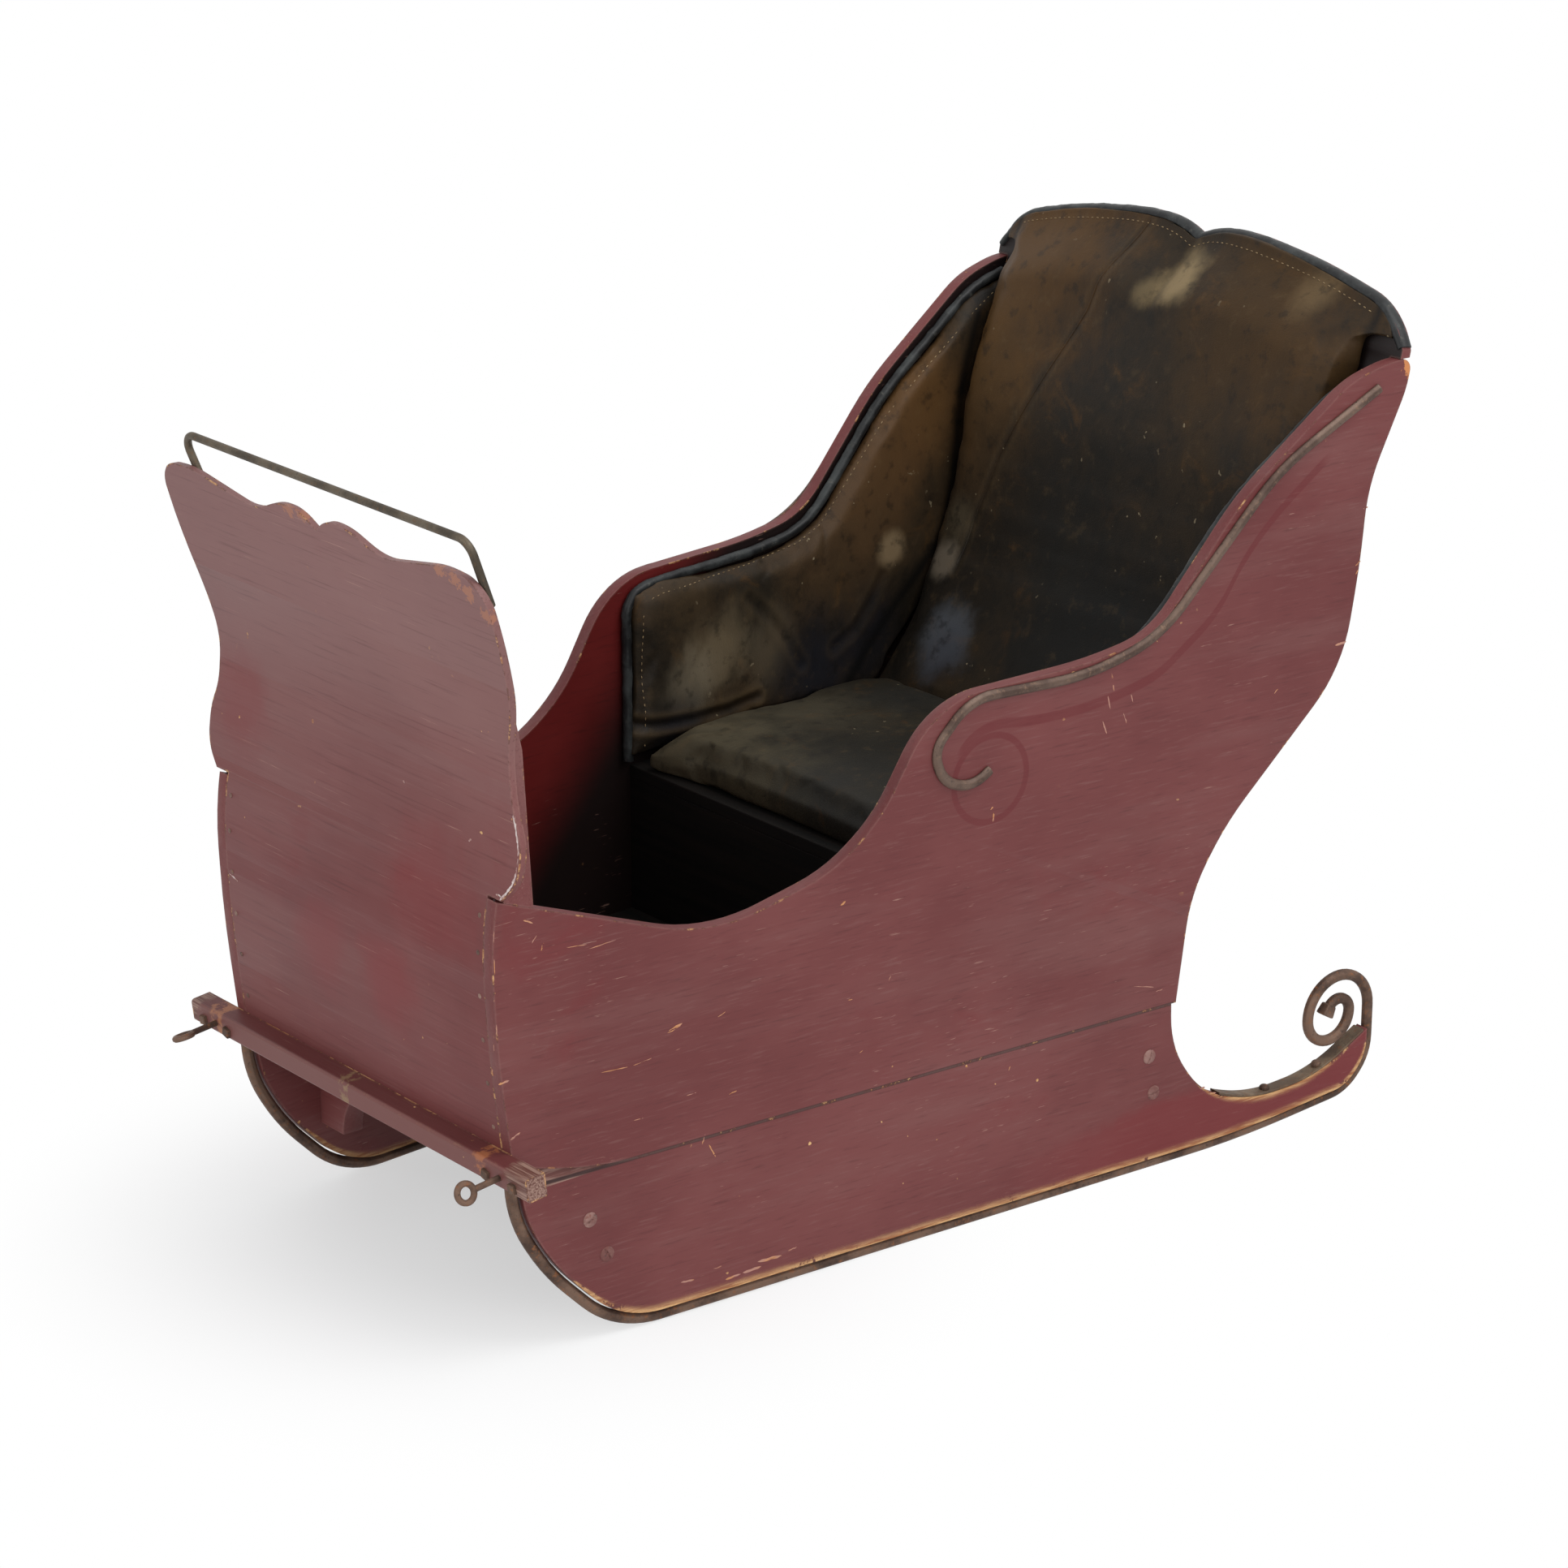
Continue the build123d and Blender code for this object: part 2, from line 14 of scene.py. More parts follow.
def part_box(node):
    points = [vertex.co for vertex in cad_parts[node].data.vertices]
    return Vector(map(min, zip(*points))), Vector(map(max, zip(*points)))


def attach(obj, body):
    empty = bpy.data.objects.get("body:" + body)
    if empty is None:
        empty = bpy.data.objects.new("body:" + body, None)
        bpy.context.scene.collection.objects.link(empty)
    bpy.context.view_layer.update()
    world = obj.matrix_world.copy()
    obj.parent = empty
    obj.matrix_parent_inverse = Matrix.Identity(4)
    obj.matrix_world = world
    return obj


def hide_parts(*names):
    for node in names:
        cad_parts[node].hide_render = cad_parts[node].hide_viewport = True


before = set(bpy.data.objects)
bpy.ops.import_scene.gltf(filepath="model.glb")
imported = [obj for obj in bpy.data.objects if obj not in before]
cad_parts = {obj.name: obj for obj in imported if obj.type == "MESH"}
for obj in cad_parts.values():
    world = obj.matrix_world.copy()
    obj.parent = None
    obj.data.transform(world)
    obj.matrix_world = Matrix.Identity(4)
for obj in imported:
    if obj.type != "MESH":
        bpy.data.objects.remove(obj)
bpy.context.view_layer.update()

# Room
# A plain white floor that runs out into a white room, a broad soft lamp high behind the near
# side, weaker ones at the front and beside it, and a camera at a standing adult's height.
scene = bpy.context.scene
scene.view_settings.view_transform = "Standard"


def put(tree, kind, inputs=None, **settings):
    made = tree.nodes.new(kind)
    for key, value in settings.items():
        setattr(made, key, value)
    for key, value in (inputs or {}).items():
        if isinstance(value, bpy.types.NodeSocket):
            tree.links.new(value, made.inputs[key])
        else:
            made.inputs[key].default_value = value
    return made


def value_of(tree, kind, inputs=None, **settings):
    return put(tree, kind, inputs, **settings).outputs[0]


def calc(tree, operation, first, second=0.0):
    return value_of(tree, "ShaderNodeMath", {0: first, 1: second}, operation=operation)


def times(tree, first, second):
    return calc(tree, "MULTIPLY", first, second)


def larger(tree, first, second):
    return calc(tree, "MAXIMUM", first, second)


def away_from(tree, where, place):
    return put(tree, "ShaderNodeVectorMath", {0: where, 1: place}, operation="DISTANCE").outputs["Value"]


def step(tree, value, low, high):
    inputs = {"Value": value, "From Min": low, "From Max": high}
    return value_of(tree, "ShaderNodeMapRange", inputs, interpolation_type="SMOOTHSTEP")


def scaled(tree, value, low, high):
    return value_of(tree, "ShaderNodeMapRange", {"Value": value, "To Min": low, "To Max": high})


def new_finish(name, specular=0.3):
    material = bpy.data.materials.new(name)
    material.use_nodes = True
    tree = material.node_tree
    shader = tree.nodes["Principled BSDF"]
    shader.inputs["Specular IOR Level"].default_value = specular
    where = put(tree, "ShaderNodeTexCoord").outputs["Object"]
    return material, tree, shader, where


def white_to_eye(tree):
    path = put(tree, "ShaderNodeLightPath").outputs
    seen = larger(tree, path["Is Camera Ray"], path["Is Glossy Ray"])
    return larger(tree, seen, path["Is Transmission Ray"])


floor_radius = 9.0
fade_start, fade_end = 0.10, 0.46
fade_middle = (0.28, -0.03, 0.0)  # the shadow falls to the front and the far side
floor_glow = 0.52  # least share of plain white in the floor that the eye sees
floor_mesh = bpy.data.meshes.new("floor")
floor_corners = 64
turns = [2 * math.pi * i / floor_corners for i in range(floor_corners)]
rim = [(floor_radius * math.cos(turn), floor_radius * math.sin(turn), 0) for turn in turns]
floor_mesh.from_pydata(rim, [], [tuple(range(floor_corners))])
floor = bpy.data.objects.new("floor", floor_mesh)
scene.collection.objects.link(floor)
floor_finish, tree, shader, where = new_finish("white_floor", specular=0.1)
shader.inputs["Base Color"].default_value = (0.93, 0.935, 0.94, 1)
shader.inputs["Roughness"].default_value = 0.9
reach = away_from(tree, where, fade_middle)
fade = scaled(tree, step(tree, reach, fade_start, fade_end), floor_glow, 1.0)
fade = times(tree, fade, white_to_eye(tree))
glow = value_of(tree, "ShaderNodeEmission", {"Color": (1, 1, 1, 1), "Strength": 1.0})
floor_mix = put(tree, "ShaderNodeMixShader", {0: fade, 1: shader.outputs[0], 2: glow})
tree.links.new(floor_mix.outputs[0], tree.nodes["Material Output"].inputs["Surface"])
floor_mesh.materials.append(floor_finish)

room = bpy.data.worlds.new("white_room")
room.use_nodes = True
scene.world = room
tree = room.node_tree
room_light = put(tree, "ShaderNodeBackground", {"Color": (0.97, 0.985, 1.0, 1), "Strength": 0.47})
room_white = put(tree, "ShaderNodeBackground", {"Color": (1, 1, 1, 1), "Strength": 1.0})
room_mix = put(tree, "ShaderNodeMixShader", {0: white_to_eye(tree), 1: room_light.outputs[0],
                                             2: room_white.outputs[0]})
tree.links.new(room_mix.outputs[0], tree.nodes["World Output"].inputs["Surface"])

lamps = (  # name, place, side in metres, watts
    ("lamp_rear_high", (-1.0, 1.9, 3.9), 2.6, 82.0),
    ("lamp_front", (3.2, 0.4, 1.8), 2.0, 27.0),
    ("lamp_near_side", (1.2, 3.6, 1.5), 2.6, 34.0),
)
lamp_aim = Vector((0.0, 0.0, 0.35))
for name, place, side, watts in lamps:
    lamp_data = bpy.data.lights.new(name, "AREA")
    lamp_data.size = side
    lamp_data.energy = watts
    lamp = bpy.data.objects.new(name, lamp_data)
    lamp.location = place
    lamp.rotation_mode = "QUATERNION"
    lamp.rotation_quaternion = (lamp_aim - Vector(place)).to_track_quat("-Z", "Y")
    scene.collection.objects.link(lamp)

view_turn, view_dip = math.radians(39.316), math.radians(19.714)
view_level = math.cos(view_dip)
view_line = Vector((-math.sin(view_turn) * view_level, -math.cos(view_turn) * view_level,
                    -math.sin(view_dip)))
camera_data = bpy.data.cameras.new("camera")
camera_data.lens = 36 * 5716 / 1932
camera_data.sensor_width = 36
camera = bpy.data.objects.new("camera", camera_data)
camera.location = (2.3390, 2.8609, 1.6609)
camera.rotation_mode = "QUATERNION"
camera.rotation_quaternion = view_line.to_track_quat("-Z", "Y")
scene.collection.objects.link(camera)
scene.camera = camera

# Runners
# Softwood boards about 13 mm thick, sawn to toe and tail and painted maroon with the body.
# Snow and gravel have worn the paint off along the bottom edge, down to bare wood.


def srgb(red, green, blue):
    parts = [value / 255 for value in (red, green, blue)]
    return tuple(p / 12.92 if p <= 0.04045 else ((p + 0.055) / 1.055) ** 2.4 for p in parts) + (1.0,)


def plus(tree, first, second):
    return calc(tree, "ADD", first, second)


def minus(tree, first, second):
    return calc(tree, "SUBTRACT", first, second)


def apart(tree, first, second):
    return calc(tree, "ABSOLUTE", minus(tree, first, second))


def mixed(tree, share, first, second):
    return put(tree, "ShaderNodeMix", {0: share, 6: first, 7: second}, data_type="RGBA").outputs[2]


def part_mixed(tree, share, most, first, second):
    return mixed(tree, scaled(tree, share, 0.0, most), first, second)


def tinted(tree, mask, low, high, most, base, colour):
    return part_mixed(tree, step(tree, mask, low, high), most, base, colour)


def blended(tree, mask, low, high, first, second):
    return mixed(tree, step(tree, mask, low, high), first, second)


def speckle(tree, where, scale, detail=3.0, roughness=0.5, distortion=0.0):
    inputs = {"Vector": where, "Scale": scale, "Detail": detail, "Roughness": roughness,
              "Distortion": distortion}
    return value_of(tree, "ShaderNodeTexNoise", inputs)


def stretched_speckle(tree, where, scale, detail=3.0, roughness=0.5, distortion=0.0):
    drawn = value_of(tree, "ShaderNodeMapping", {"Vector": where, "Scale": scale})
    return speckle(tree, drawn, 1.0, detail, roughness, distortion)


def axes_of(tree, vector):
    return put(tree, "ShaderNodeSeparateXYZ", {0: vector}).outputs


def finish_with(tree, shader, colour, roughness, relief, strength, distance):
    tree.links.new(colour, shader.inputs["Base Color"])
    tree.links.new(roughness, shader.inputs["Roughness"])
    bump = put(tree, "ShaderNodeBump", {"Height": relief, "Strength": strength, "Distance": distance})
    tree.links.new(bump.outputs[0], shader.inputs["Normal"])


deep_maroon, light_maroon = srgb(101, 47, 47), srgb(114, 60, 59)
dusty_mauve, dark_streak = srgb(129, 92, 88), srgb(80, 37, 37)
old_red = srgb(108, 34, 37)
inner_red, inner_red_light = srgb(88, 17, 17), srgb(108, 31, 29)
bare_light, bare_dark = srgb(222, 178, 124), srgb(164, 108, 66)
X, Y, Z = 0, 1, 2
hands = (("left", 1), ("right", -1))
joint_height = 0.150  # between runner and side board


def grain_along(axis, run, cross):
    return tuple(run if i == axis else cross for i in range(3))


def worn_paint(name, axis, edge=0.0028, wear=0.0, dust_and_sheen=None, inner=None, extra=None, foot_wear=False):
    material, tree, shader, where = new_finish(name)
    x, _, height = axes_of(tree, where)
    facing = put(tree, "ShaderNodeNewGeometry").outputs["Normal"]
    patches = speckle(tree, where, 4.2, 4.0, 0.6)
    blooms = speckle(tree, where, 9.0, 5.0, 0.65, 0.5)
    bands = stretched_speckle(tree, where, grain_along(axis, 2.4, 19.0), 4.0, 0.6)
    fine = stretched_speckle(tree, where, grain_along(axis, 12.0, 430.0), 4.0, 0.6)
    hairs = stretched_speckle(tree, where, grain_along(axis, 13.0, 760.0), 2.0, 0.5, 0.3)
    chips = speckle(tree, where, 52.0, 6.0, 0.72)
    paint = blended(tree, patches, 0.34, 0.66, deep_maroon, light_maroon)
    paint = tinted(tree, blooms, 0.56, 0.74, 0.45, paint, old_red)
    paint = tinted(tree, bands, 0.46, 0.72, 0.24, paint, dusty_mauve)
    if dust_and_sheen:
        # Higher up the paint turns a paler mauve: partly settled dust, partly a painted reflection.
        dust_and_sheen_share = times(tree, step(tree, height, dust_and_sheen[0], dust_and_sheen[1]), scaled(tree, patches, 0.35, 0.85))
        paint = mixed(tree, dust_and_sheen_share, paint, srgb(136, 102, 99))
    paint = tinted(tree, fine, 0.54, 0.74, 0.3, paint, dusty_mauve)
    paint = tinted(tree, fine, 0.46, 0.26, 0.45, paint, dark_streak)
    if inner:
        inside = step(tree, inner(tree, where, facing), 0.06, 0.10)
        within = blended(tree, patches, 0.3, 0.7, inner_red, inner_red_light)
        within = tinted(tree, fine, 0.48, 0.28, 0.35, within, srgb(44, 10, 10))
        # Inner faces are painted darker towards the rear and the bottom, down to near black: painted shade
        # inside the body.
        painted_shade_within = plus(tree, times(tree, minus(tree, 0.13, x), 9.6),
                    times(tree, minus(tree, 0.41, height), 8.2))
        within = tinted(tree, painted_shade_within, 0.95, 2.0, 0.97, within, srgb(9, 7, 6))
        paint = mixed(tree, inside, paint, within)
    scratched = times(tree, step(tree, hairs, 0.69, 0.74), step(tree, blooms, 0.46, 0.6))
    paint = part_mixed(tree, scratched, 0.5, paint, srgb(178, 140, 126))
    if extra:
        paint = extra(tree, where, facing, paint)
    radius, bias = edge, wear
    if foot_wear:
        low_down = step(tree, height, 0.075, 0.025)
        radius = scaled(tree, low_down, edge, 0.0110)
        clusters = step(tree, speckle(tree, where, 8.0, 3.0), 0.36, 0.66)
        bias = plus(tree, times(tree, low_down, scaled(tree, clusters, 0.16, 0.42)), wear)
    rounded = value_of(tree, "ShaderNodeBevel", {"Radius": radius}, samples=6)
    turned = put(tree, "ShaderNodeVectorMath", {0: rounded, 1: facing}, operation="DOT_PRODUCT")
    rim_share = step(tree, minus(tree, 1.0, turned.outputs["Value"]), 0.004, 0.05)
    rubbed = times(tree, rim_share, scaled(tree, blooms, 0.2, 1.0))
    paint = part_mixed(tree, rubbed, 0.42, paint, srgb(148, 112, 104))
    loss = times(tree, rim_share, plus(tree, chips, bias))
    bare = step(tree, loss, 0.60, 0.65)
    spots = step(tree, speckle(tree, where, 95.0, 2.0), 0.745, 0.76)
    spots = times(tree, spots, step(tree, patches, 0.5, 0.6))
    bare = larger(tree, bare, spots)
    wood = blended(tree, fine, 0.36, 0.66, bare_light, bare_dark)
    stain = blended(tree, loss, 0.53, 0.60, paint, srgb(84, 46, 38))
    relief = plus(tree, scaled(tree, fine, 0.0, 0.55), scaled(tree, hairs, 0.0, 0.3))
    relief = minus(tree, relief, scaled(tree, bare, 0.0, 0.8))
    sheen = plus(tree, scaled(tree, patches, 0.42, 0.62), scaled(tree, bare, 0.0, 0.25))
    finish_with(tree, shader, mixed(tree, bare, stain, wood), sheen, relief, 0.25, 0.0006)
    return material


def dress(nodes, material, edge_width, angle=35.0, segments=2):
    for name in nodes:
        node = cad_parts[name]
        node.data.materials.clear()
        node.data.materials.append(material)
        node.modifiers.new("joined", "WELD").merge_threshold = 0.00002
        eased = node.modifiers.new("eased_edges", "BEVEL")
        eased.width = edge_width
        eased.segments = segments
        eased.limit_method = "ANGLE"
        eased.angle_limit = math.radians(angle)


def joint_line(tree, height, paint):
    aside = apart(tree, height, joint_height)
    return tinted(tree, aside, 0.0021, 0.0008, 0.9, paint, srgb(38, 16, 16))


def redder_tail(tree, where, facing, paint):
    x, _, z = axes_of(tree, where)
    drawn = plus(tree, z, times(tree, x, 0.10))
    ragged = plus(tree, drawn, scaled(tree, speckle(tree, where, 14.0, 4.0, 0.6), -0.02, 0.02))
    low = times(tree, step(tree, ragged, 0.043, 0.030), step(tree, x, -0.02, -0.22))
    paint = part_mixed(tree, low, 0.6, paint, srgb(112, 30, 34))
    sloped = times(tree, step(tree, axes_of(tree, facing)[2], 0.05, 0.2), step(tree, x, 0.28, 0.30))
    sloped = times(tree, sloped, step(tree, z, 0.120, 0.130))
    streaks = stretched_speckle(tree, where, grain_along(X, 14.0, 260.0), 4.0, 0.6)
    greyed = blended(tree, streaks, 0.4, 0.64, srgb(98, 60, 54), srgb(152, 122, 110))
    paint = part_mixed(tree, sloped, 0.85, paint, greyed)
    return joint_line(tree, z, paint)


runner_paint = worn_paint("runner_paint", X, wear=0.02, foot_wear=True, extra=redder_tail)
dress(("runner_left", "runner_right"), runner_paint, 0.0011)

front_x = 0.4492
half_width = 0.191
taper = math.radians(3.9)


def out_of_side(hand=1):
    return Vector((math.sin(taper), hand * math.cos(taper), 0))


def back_along_side(hand=1):
    return Vector((-math.cos(taper), hand * math.sin(taper), 0))


def side_point(station, height, out=0.0, hand=1):
    corner = Vector((front_x, hand * half_width, height))
    return corner + back_along_side(hand) * station + out_of_side(hand) * out


def leaning(slant, hand=1):
    return back_along_side(hand) * math.cos(slant) + Vector((0, 0, math.sin(slant)))


def skin_of(mesh):
    return BVHTree.FromPolygons([v.co[:] for v in mesh.vertices], [p.vertices[:] for p in mesh.polygons])


slot_depth = 0.0009


def turned_head(name, profile, spokes, slot=0.0):
    shape = bmesh.new()
    rings = []
    for radius, height in profile:
        ring = []
        for i in range(spokes):
            turn = 2 * math.pi * i / spokes
            sunk = slot_depth if abs(radius * math.sin(turn)) < slot else 0.0
            ring.append(shape.verts.new((radius * math.cos(turn), radius * math.sin(turn), height - sunk)))
        rings.append(ring)
    for low, high in zip(rings, rings[1:]):
        for i in range(spokes):
            shape.faces.new((low[i], low[(i + 1) % spokes], high[(i + 1) % spokes], high[i]))
    shape.faces.new(rings[-1])
    shape.faces.new(list(reversed(rings[0])))
    mesh = bpy.data.meshes.new(name)
    shape.to_mesh(mesh)
    shape.free()
    return bpy.data.objects.new(name, mesh)


def new_tree(name, *inputs):
    tree = bpy.data.node_groups.new(name, "GeometryNodeTree")
    tree.interface.new_socket("Geometry", in_out="INPUT", socket_type="NodeSocketGeometry")
    for label, kind in inputs:
        tree.interface.new_socket(label, in_out="INPUT", socket_type=kind)
    tree.interface.new_socket("Geometry", in_out="OUTPUT", socket_type="NodeSocketGeometry")
    return tree, put(tree, "NodeGroupInput").outputs


def end_tree(tree, geometry, material):
    real = value_of(tree, "GeometryNodeRealizeInstances", {"Geometry": geometry})
    done = value_of(tree, "GeometryNodeSetMaterial", {"Geometry": real, "Material": material})
    put(tree, "NodeGroupOutput", {"Geometry": done})


def own_field(tree, name):
    return value_of(tree, "GeometryNodeInputNamedAttribute", {"Name": name}, data_type="FLOAT_VECTOR")


# A tree that sets one shape on every point, turned to the point's facing and along, and scaled to
# its size
seating, given = new_tree("seating", ("Shape", "NodeSocketObject"), ("Ragged", "NodeSocketFloat"),
                          ("Material", "NodeSocketMaterial"))
own_axes = {0: own_field(seating, "facing"), 1: own_field(seating, "along")}
turned = value_of(seating, "FunctionNodeAxesToRotation", own_axes, primary_axis="Z", secondary_axis="X")
shape_in = put(seating, "GeometryNodeObjectInfo", {"Object": given["Shape"]}).outputs["Geometry"]
seated = value_of(seating, "GeometryNodeInstanceOnPoints", {
    "Points": given["Geometry"], "Instance": shape_in, "Rotation": turned,
    "Scale": own_field(seating, "size")})
loose = value_of(seating, "GeometryNodeRealizeInstances", {"Geometry": seated})
spot = value_of(seating, "GeometryNodeInputPosition")
shiver = put(seating, "ShaderNodeTexNoise", {"Vector": spot, "Scale": 420.0}).outputs[1]
shiver = value_of(seating, "ShaderNodeVectorMath", {0: shiver, 1: (0.5, 0.5, 0.5)}, operation="SUBTRACT")
shiver = value_of(seating, "ShaderNodeVectorMath", {0: shiver, "Scale": given["Ragged"]}, operation="SCALE")
loose = value_of(seating, "GeometryNodeSetPosition", {"Geometry": loose, "Offset": shiver})
end_tree(seating, loose, given["Material"])


def settled_mesh(thing):
    shown = thing.evaluated_get(bpy.context.evaluated_depsgraph_get())
    return bpy.data.meshes.new_from_object(shown)


def grown_from(name, mesh, tree, slot, **values):
    piece = bpy.data.objects.new(name, mesh)
    scene.collection.objects.link(piece)
    maker = piece.modifiers.new("maker", "NODES")
    maker.node_group = tree
    for socket in tree.interface.items_tree:
        if socket.in_out == "INPUT" and socket.name in values:
            maker[socket.identifier] = values[socket.name]
    made = settled_mesh(piece)
    piece.modifiers.clear()
    piece.data = made
    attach(piece, "root")
    return piece


def seat_shapes(name, shape, spots, material, slot, ragged=0.0):
    mesh = bpy.data.meshes.new(name)
    mesh.from_pydata([spot[0] for spot in spots], [], [])
    for i, field in enumerate(("facing", "along", "size"), 1):
        made = mesh.attributes.new(field, "FLOAT_VECTOR", "POINT")
        made.data.foreach_set("vector", [value for spot in spots for value in spot[i]])
    scene.collection.objects.link(shape)
    piece = grown_from(name, mesh, seating, slot, Shape=shape, Ragged=ragged, Material=material)
    scene.collection.objects.unlink(shape)
    return piece


def touch(nodes, start, heading):
    hits = []
    for name in nodes:
        place, normal, _, away = skins[name].ray_cast(Vector(start), Vector(heading))
        if place is not None:
            hits.append((away, place, normal))
    return min(hits, key=lambda hit: hit[0])[1:] if hits else (None, None)


def touch_front(node, across, height):
    return touch((node,), (0.8, across, height), (-1, 0, 0))


def touch_rear(node, across, height):
    return touch((node,), (-0.8, across, height), (1, 0, 0))


skins = {name: skin_of(node.data) for name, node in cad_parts.items()}
even_size = (1.0, 1.0, 1.0)


def rusty_iron(name, dark, mid, orange, metal=0.55, rough=0.58):
    material, tree, shader, where = new_finish(name, specular=0.4)
    clouds = speckle(tree, where, 26.0, 5.0, 0.62)
    grit = speckle(tree, where, 210.0, 4.0, 0.65)
    base = blended(tree, clouds, 0.36, 0.62, dark, mid)
    base = tinted(tree, grit, 0.54, 0.72, 0.75, base, orange)
    base = tinted(tree, grit, 0.42, 0.3, 0.6, base, srgb(48, 38, 34))
    shader.inputs["Metallic"].default_value = metal
    finish_with(tree, shader, base, scaled(tree, grit, rough - 0.12, rough + 0.2), grit, 0.45, 0.0006)
    return material


screw_steel = rusty_iron("screw_steel", srgb(106, 62, 58), srgb(150, 116, 108), srgb(124, 72, 62),
                         metal=0.1, rough=0.66)
screw_profile = (  # radius, height
    (0.0066, -0.0004), (0.0064, 0.0005), (0.0054, 0.0011), (0.0040, 0.0014), (0.0026, 0.0016),
    (0.0013, 0.0017),
)
screw_head = turned_head("screw_head", screw_profile, 28, slot=0.0008)
screw_places = (  # station, height, turn of the slot
    (0.0946, 0.1081, 0.6), (0.1101, 0.0743, 2.1), (0.6641, 0.1066, 1.2), (0.6698, 0.0720, 0.2),
)
beside = 0.1  # clear of a side, where a ray to it starts
screws = []
for hand_name, hand in hands:
    for station, height, tilt in screw_places:
        start = side_point(station, height, beside, hand)
        place, normal = touch((f"runner_{hand_name}",), start, -out_of_side(hand))
        screws.append((place, normal, leaning(tilt, hand), even_size))
seat_shapes("runner_screws", screw_head, screws, screw_steel, "iron")

# Braces
# Two arched boards between the runners, held by the screws and painted like the outside.
brace_paint = worn_paint("brace_paint", Y)
dress(("cross_brace_front", "cross_brace_rear"), brace_paint, 0.0012)

# Shoes and straps
# Iron rod bent round each runner and curled at the tail, its end upset to a blunt square, and a thin
# strap along the tail's top held by two round nails. Both are brown with old rust.
shoe_iron = rusty_iron("shoe_iron", srgb(74, 56, 47), srgb(118, 93, 78), srgb(146, 94, 58))
dress(("shoe_left", "shoe_right"), shoe_iron, 0.0011, angle=25.0, segments=3)
strap_iron = rusty_iron("strap_iron", srgb(92, 76, 62), srgb(130, 112, 92), srgb(128, 84, 58))
dress(("tail_strap_left", "tail_strap_right"), strap_iron, 0.0005)

scroll_middle = 0.0065  # rod's centre in from the side's outer face
scroll_end = (0.8738, 0.0990)  # station, height
scroll_heading = (-0.5, -0.866)
blunt_size = (0.011, 0.0105, 0.0115)
blunt_flare = 0.22
for hand_name, hand in hands:
    shape = bmesh.new()
    bmesh.ops.create_cube(shape, size=1.0)
    bmesh.ops.bevel(shape, geom=shape.edges[:], offset=0.16, segments=2, affect="EDGES", profile=0.6)
    heading = back_along_side(hand) * scroll_heading[0] + Vector((0, 0, scroll_heading[1]))
    across = out_of_side(hand)
    upward = heading.cross(across)
    middle = side_point(*scroll_end, out=-scroll_middle, hand=hand) + heading * 0.002 + upward * 0.0008
    for vert in shape.verts:
        spread = 1.0 + blunt_flare * vert.co.x
        ahead, wide, high = (part * full for part, full in zip(vert.co, blunt_size))
        vert.co = middle + heading * ahead + across * wide * spread + upward * high * spread
    bmesh.ops.recalc_face_normals(shape, faces=shape.faces[:])
    blunt_mesh = bpy.data.meshes.new(f"scroll_end_{hand_name}")
    shape.to_mesh(blunt_mesh)
    shape.free()
    blunt_mesh.polygons.foreach_set("use_smooth", [True] * len(blunt_mesh.polygons))
    blunt_mesh.materials.append(shoe_iron)
    blunt = bpy.data.objects.new(f"scroll_end_{hand_name}", blunt_mesh)
    scene.collection.objects.link(blunt)
    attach(blunt, "root")

strap_profile = ((0.0040, -0.0005), (0.0046, 0.0006), (0.0044, 0.0022), (0.0033, 0.0035), (0.0016, 0.0041))
strap_head = turned_head("strap_head", strap_profile, 14)
strap_nails = []
for hand in (1, -1):
    for station in (0.8020, 0.8620):
        start = side_point(station, 0.085, -scroll_middle, hand)
        place, normal = touch(("tail_strap_left", "tail_strap_right"), start, (0, 0, -1))
        strap_nails.append((place, normal, back_along_side(hand), even_size))
seat_shapes("strap_nails", strap_head, strap_nails, shoe_iron, "iron")

# Floor and seat boards
# Plain boards let in between the sides: the floor, the seat and its front under the cushion, all
# black with age, their near-black also standing for painted shade in the deep foot well.
black_and_shaded_board, tree, shader, where = new_finish("black_and_shaded_board", specular=0.15)
grain = stretched_speckle(tree, where, grain_along(Y, 6.0, 160.0), 5.0, 0.6)
# Near-black: old dark paint together with painted shade of the foot well.
finish_with(tree, shader, blended(tree, grain, 0.35, 0.7, srgb(8, 7, 6), srgb(20, 15, 12)),
            scaled(tree, grain, 0.65, 0.9), grain, 0.3, 0.0006)
dress(("seat_front", "seat_board", "floor_board"), black_and_shaded_board, 0.0010)

# Side boards
# Wide half-inch boards, sawn to a swept outline, standing on the runners and spreading to the rear.
# A lower iron trim and its scroll are lost; a redder line and ring in the paint show where they lay.
ghost_line = (  # station, height of the lost trim, in metres
    (0.449, 0.415), (0.457, 0.426), (0.472, 0.436), (0.493, 0.440), (0.524, 0.437), (0.565, 0.436),
    (0.603, 0.439), (0.633, 0.444), (0.661, 0.452), (0.687, 0.468), (0.724, 0.497), (0.750, 0.533),
    (0.777, 0.561), (0.813, 0.589), (0.847, 0.612),
)
ghost_ring = (0.486, 0.395, 0.037)  # station, height, radius
bare_corner = side_point(0.931, 0.674)


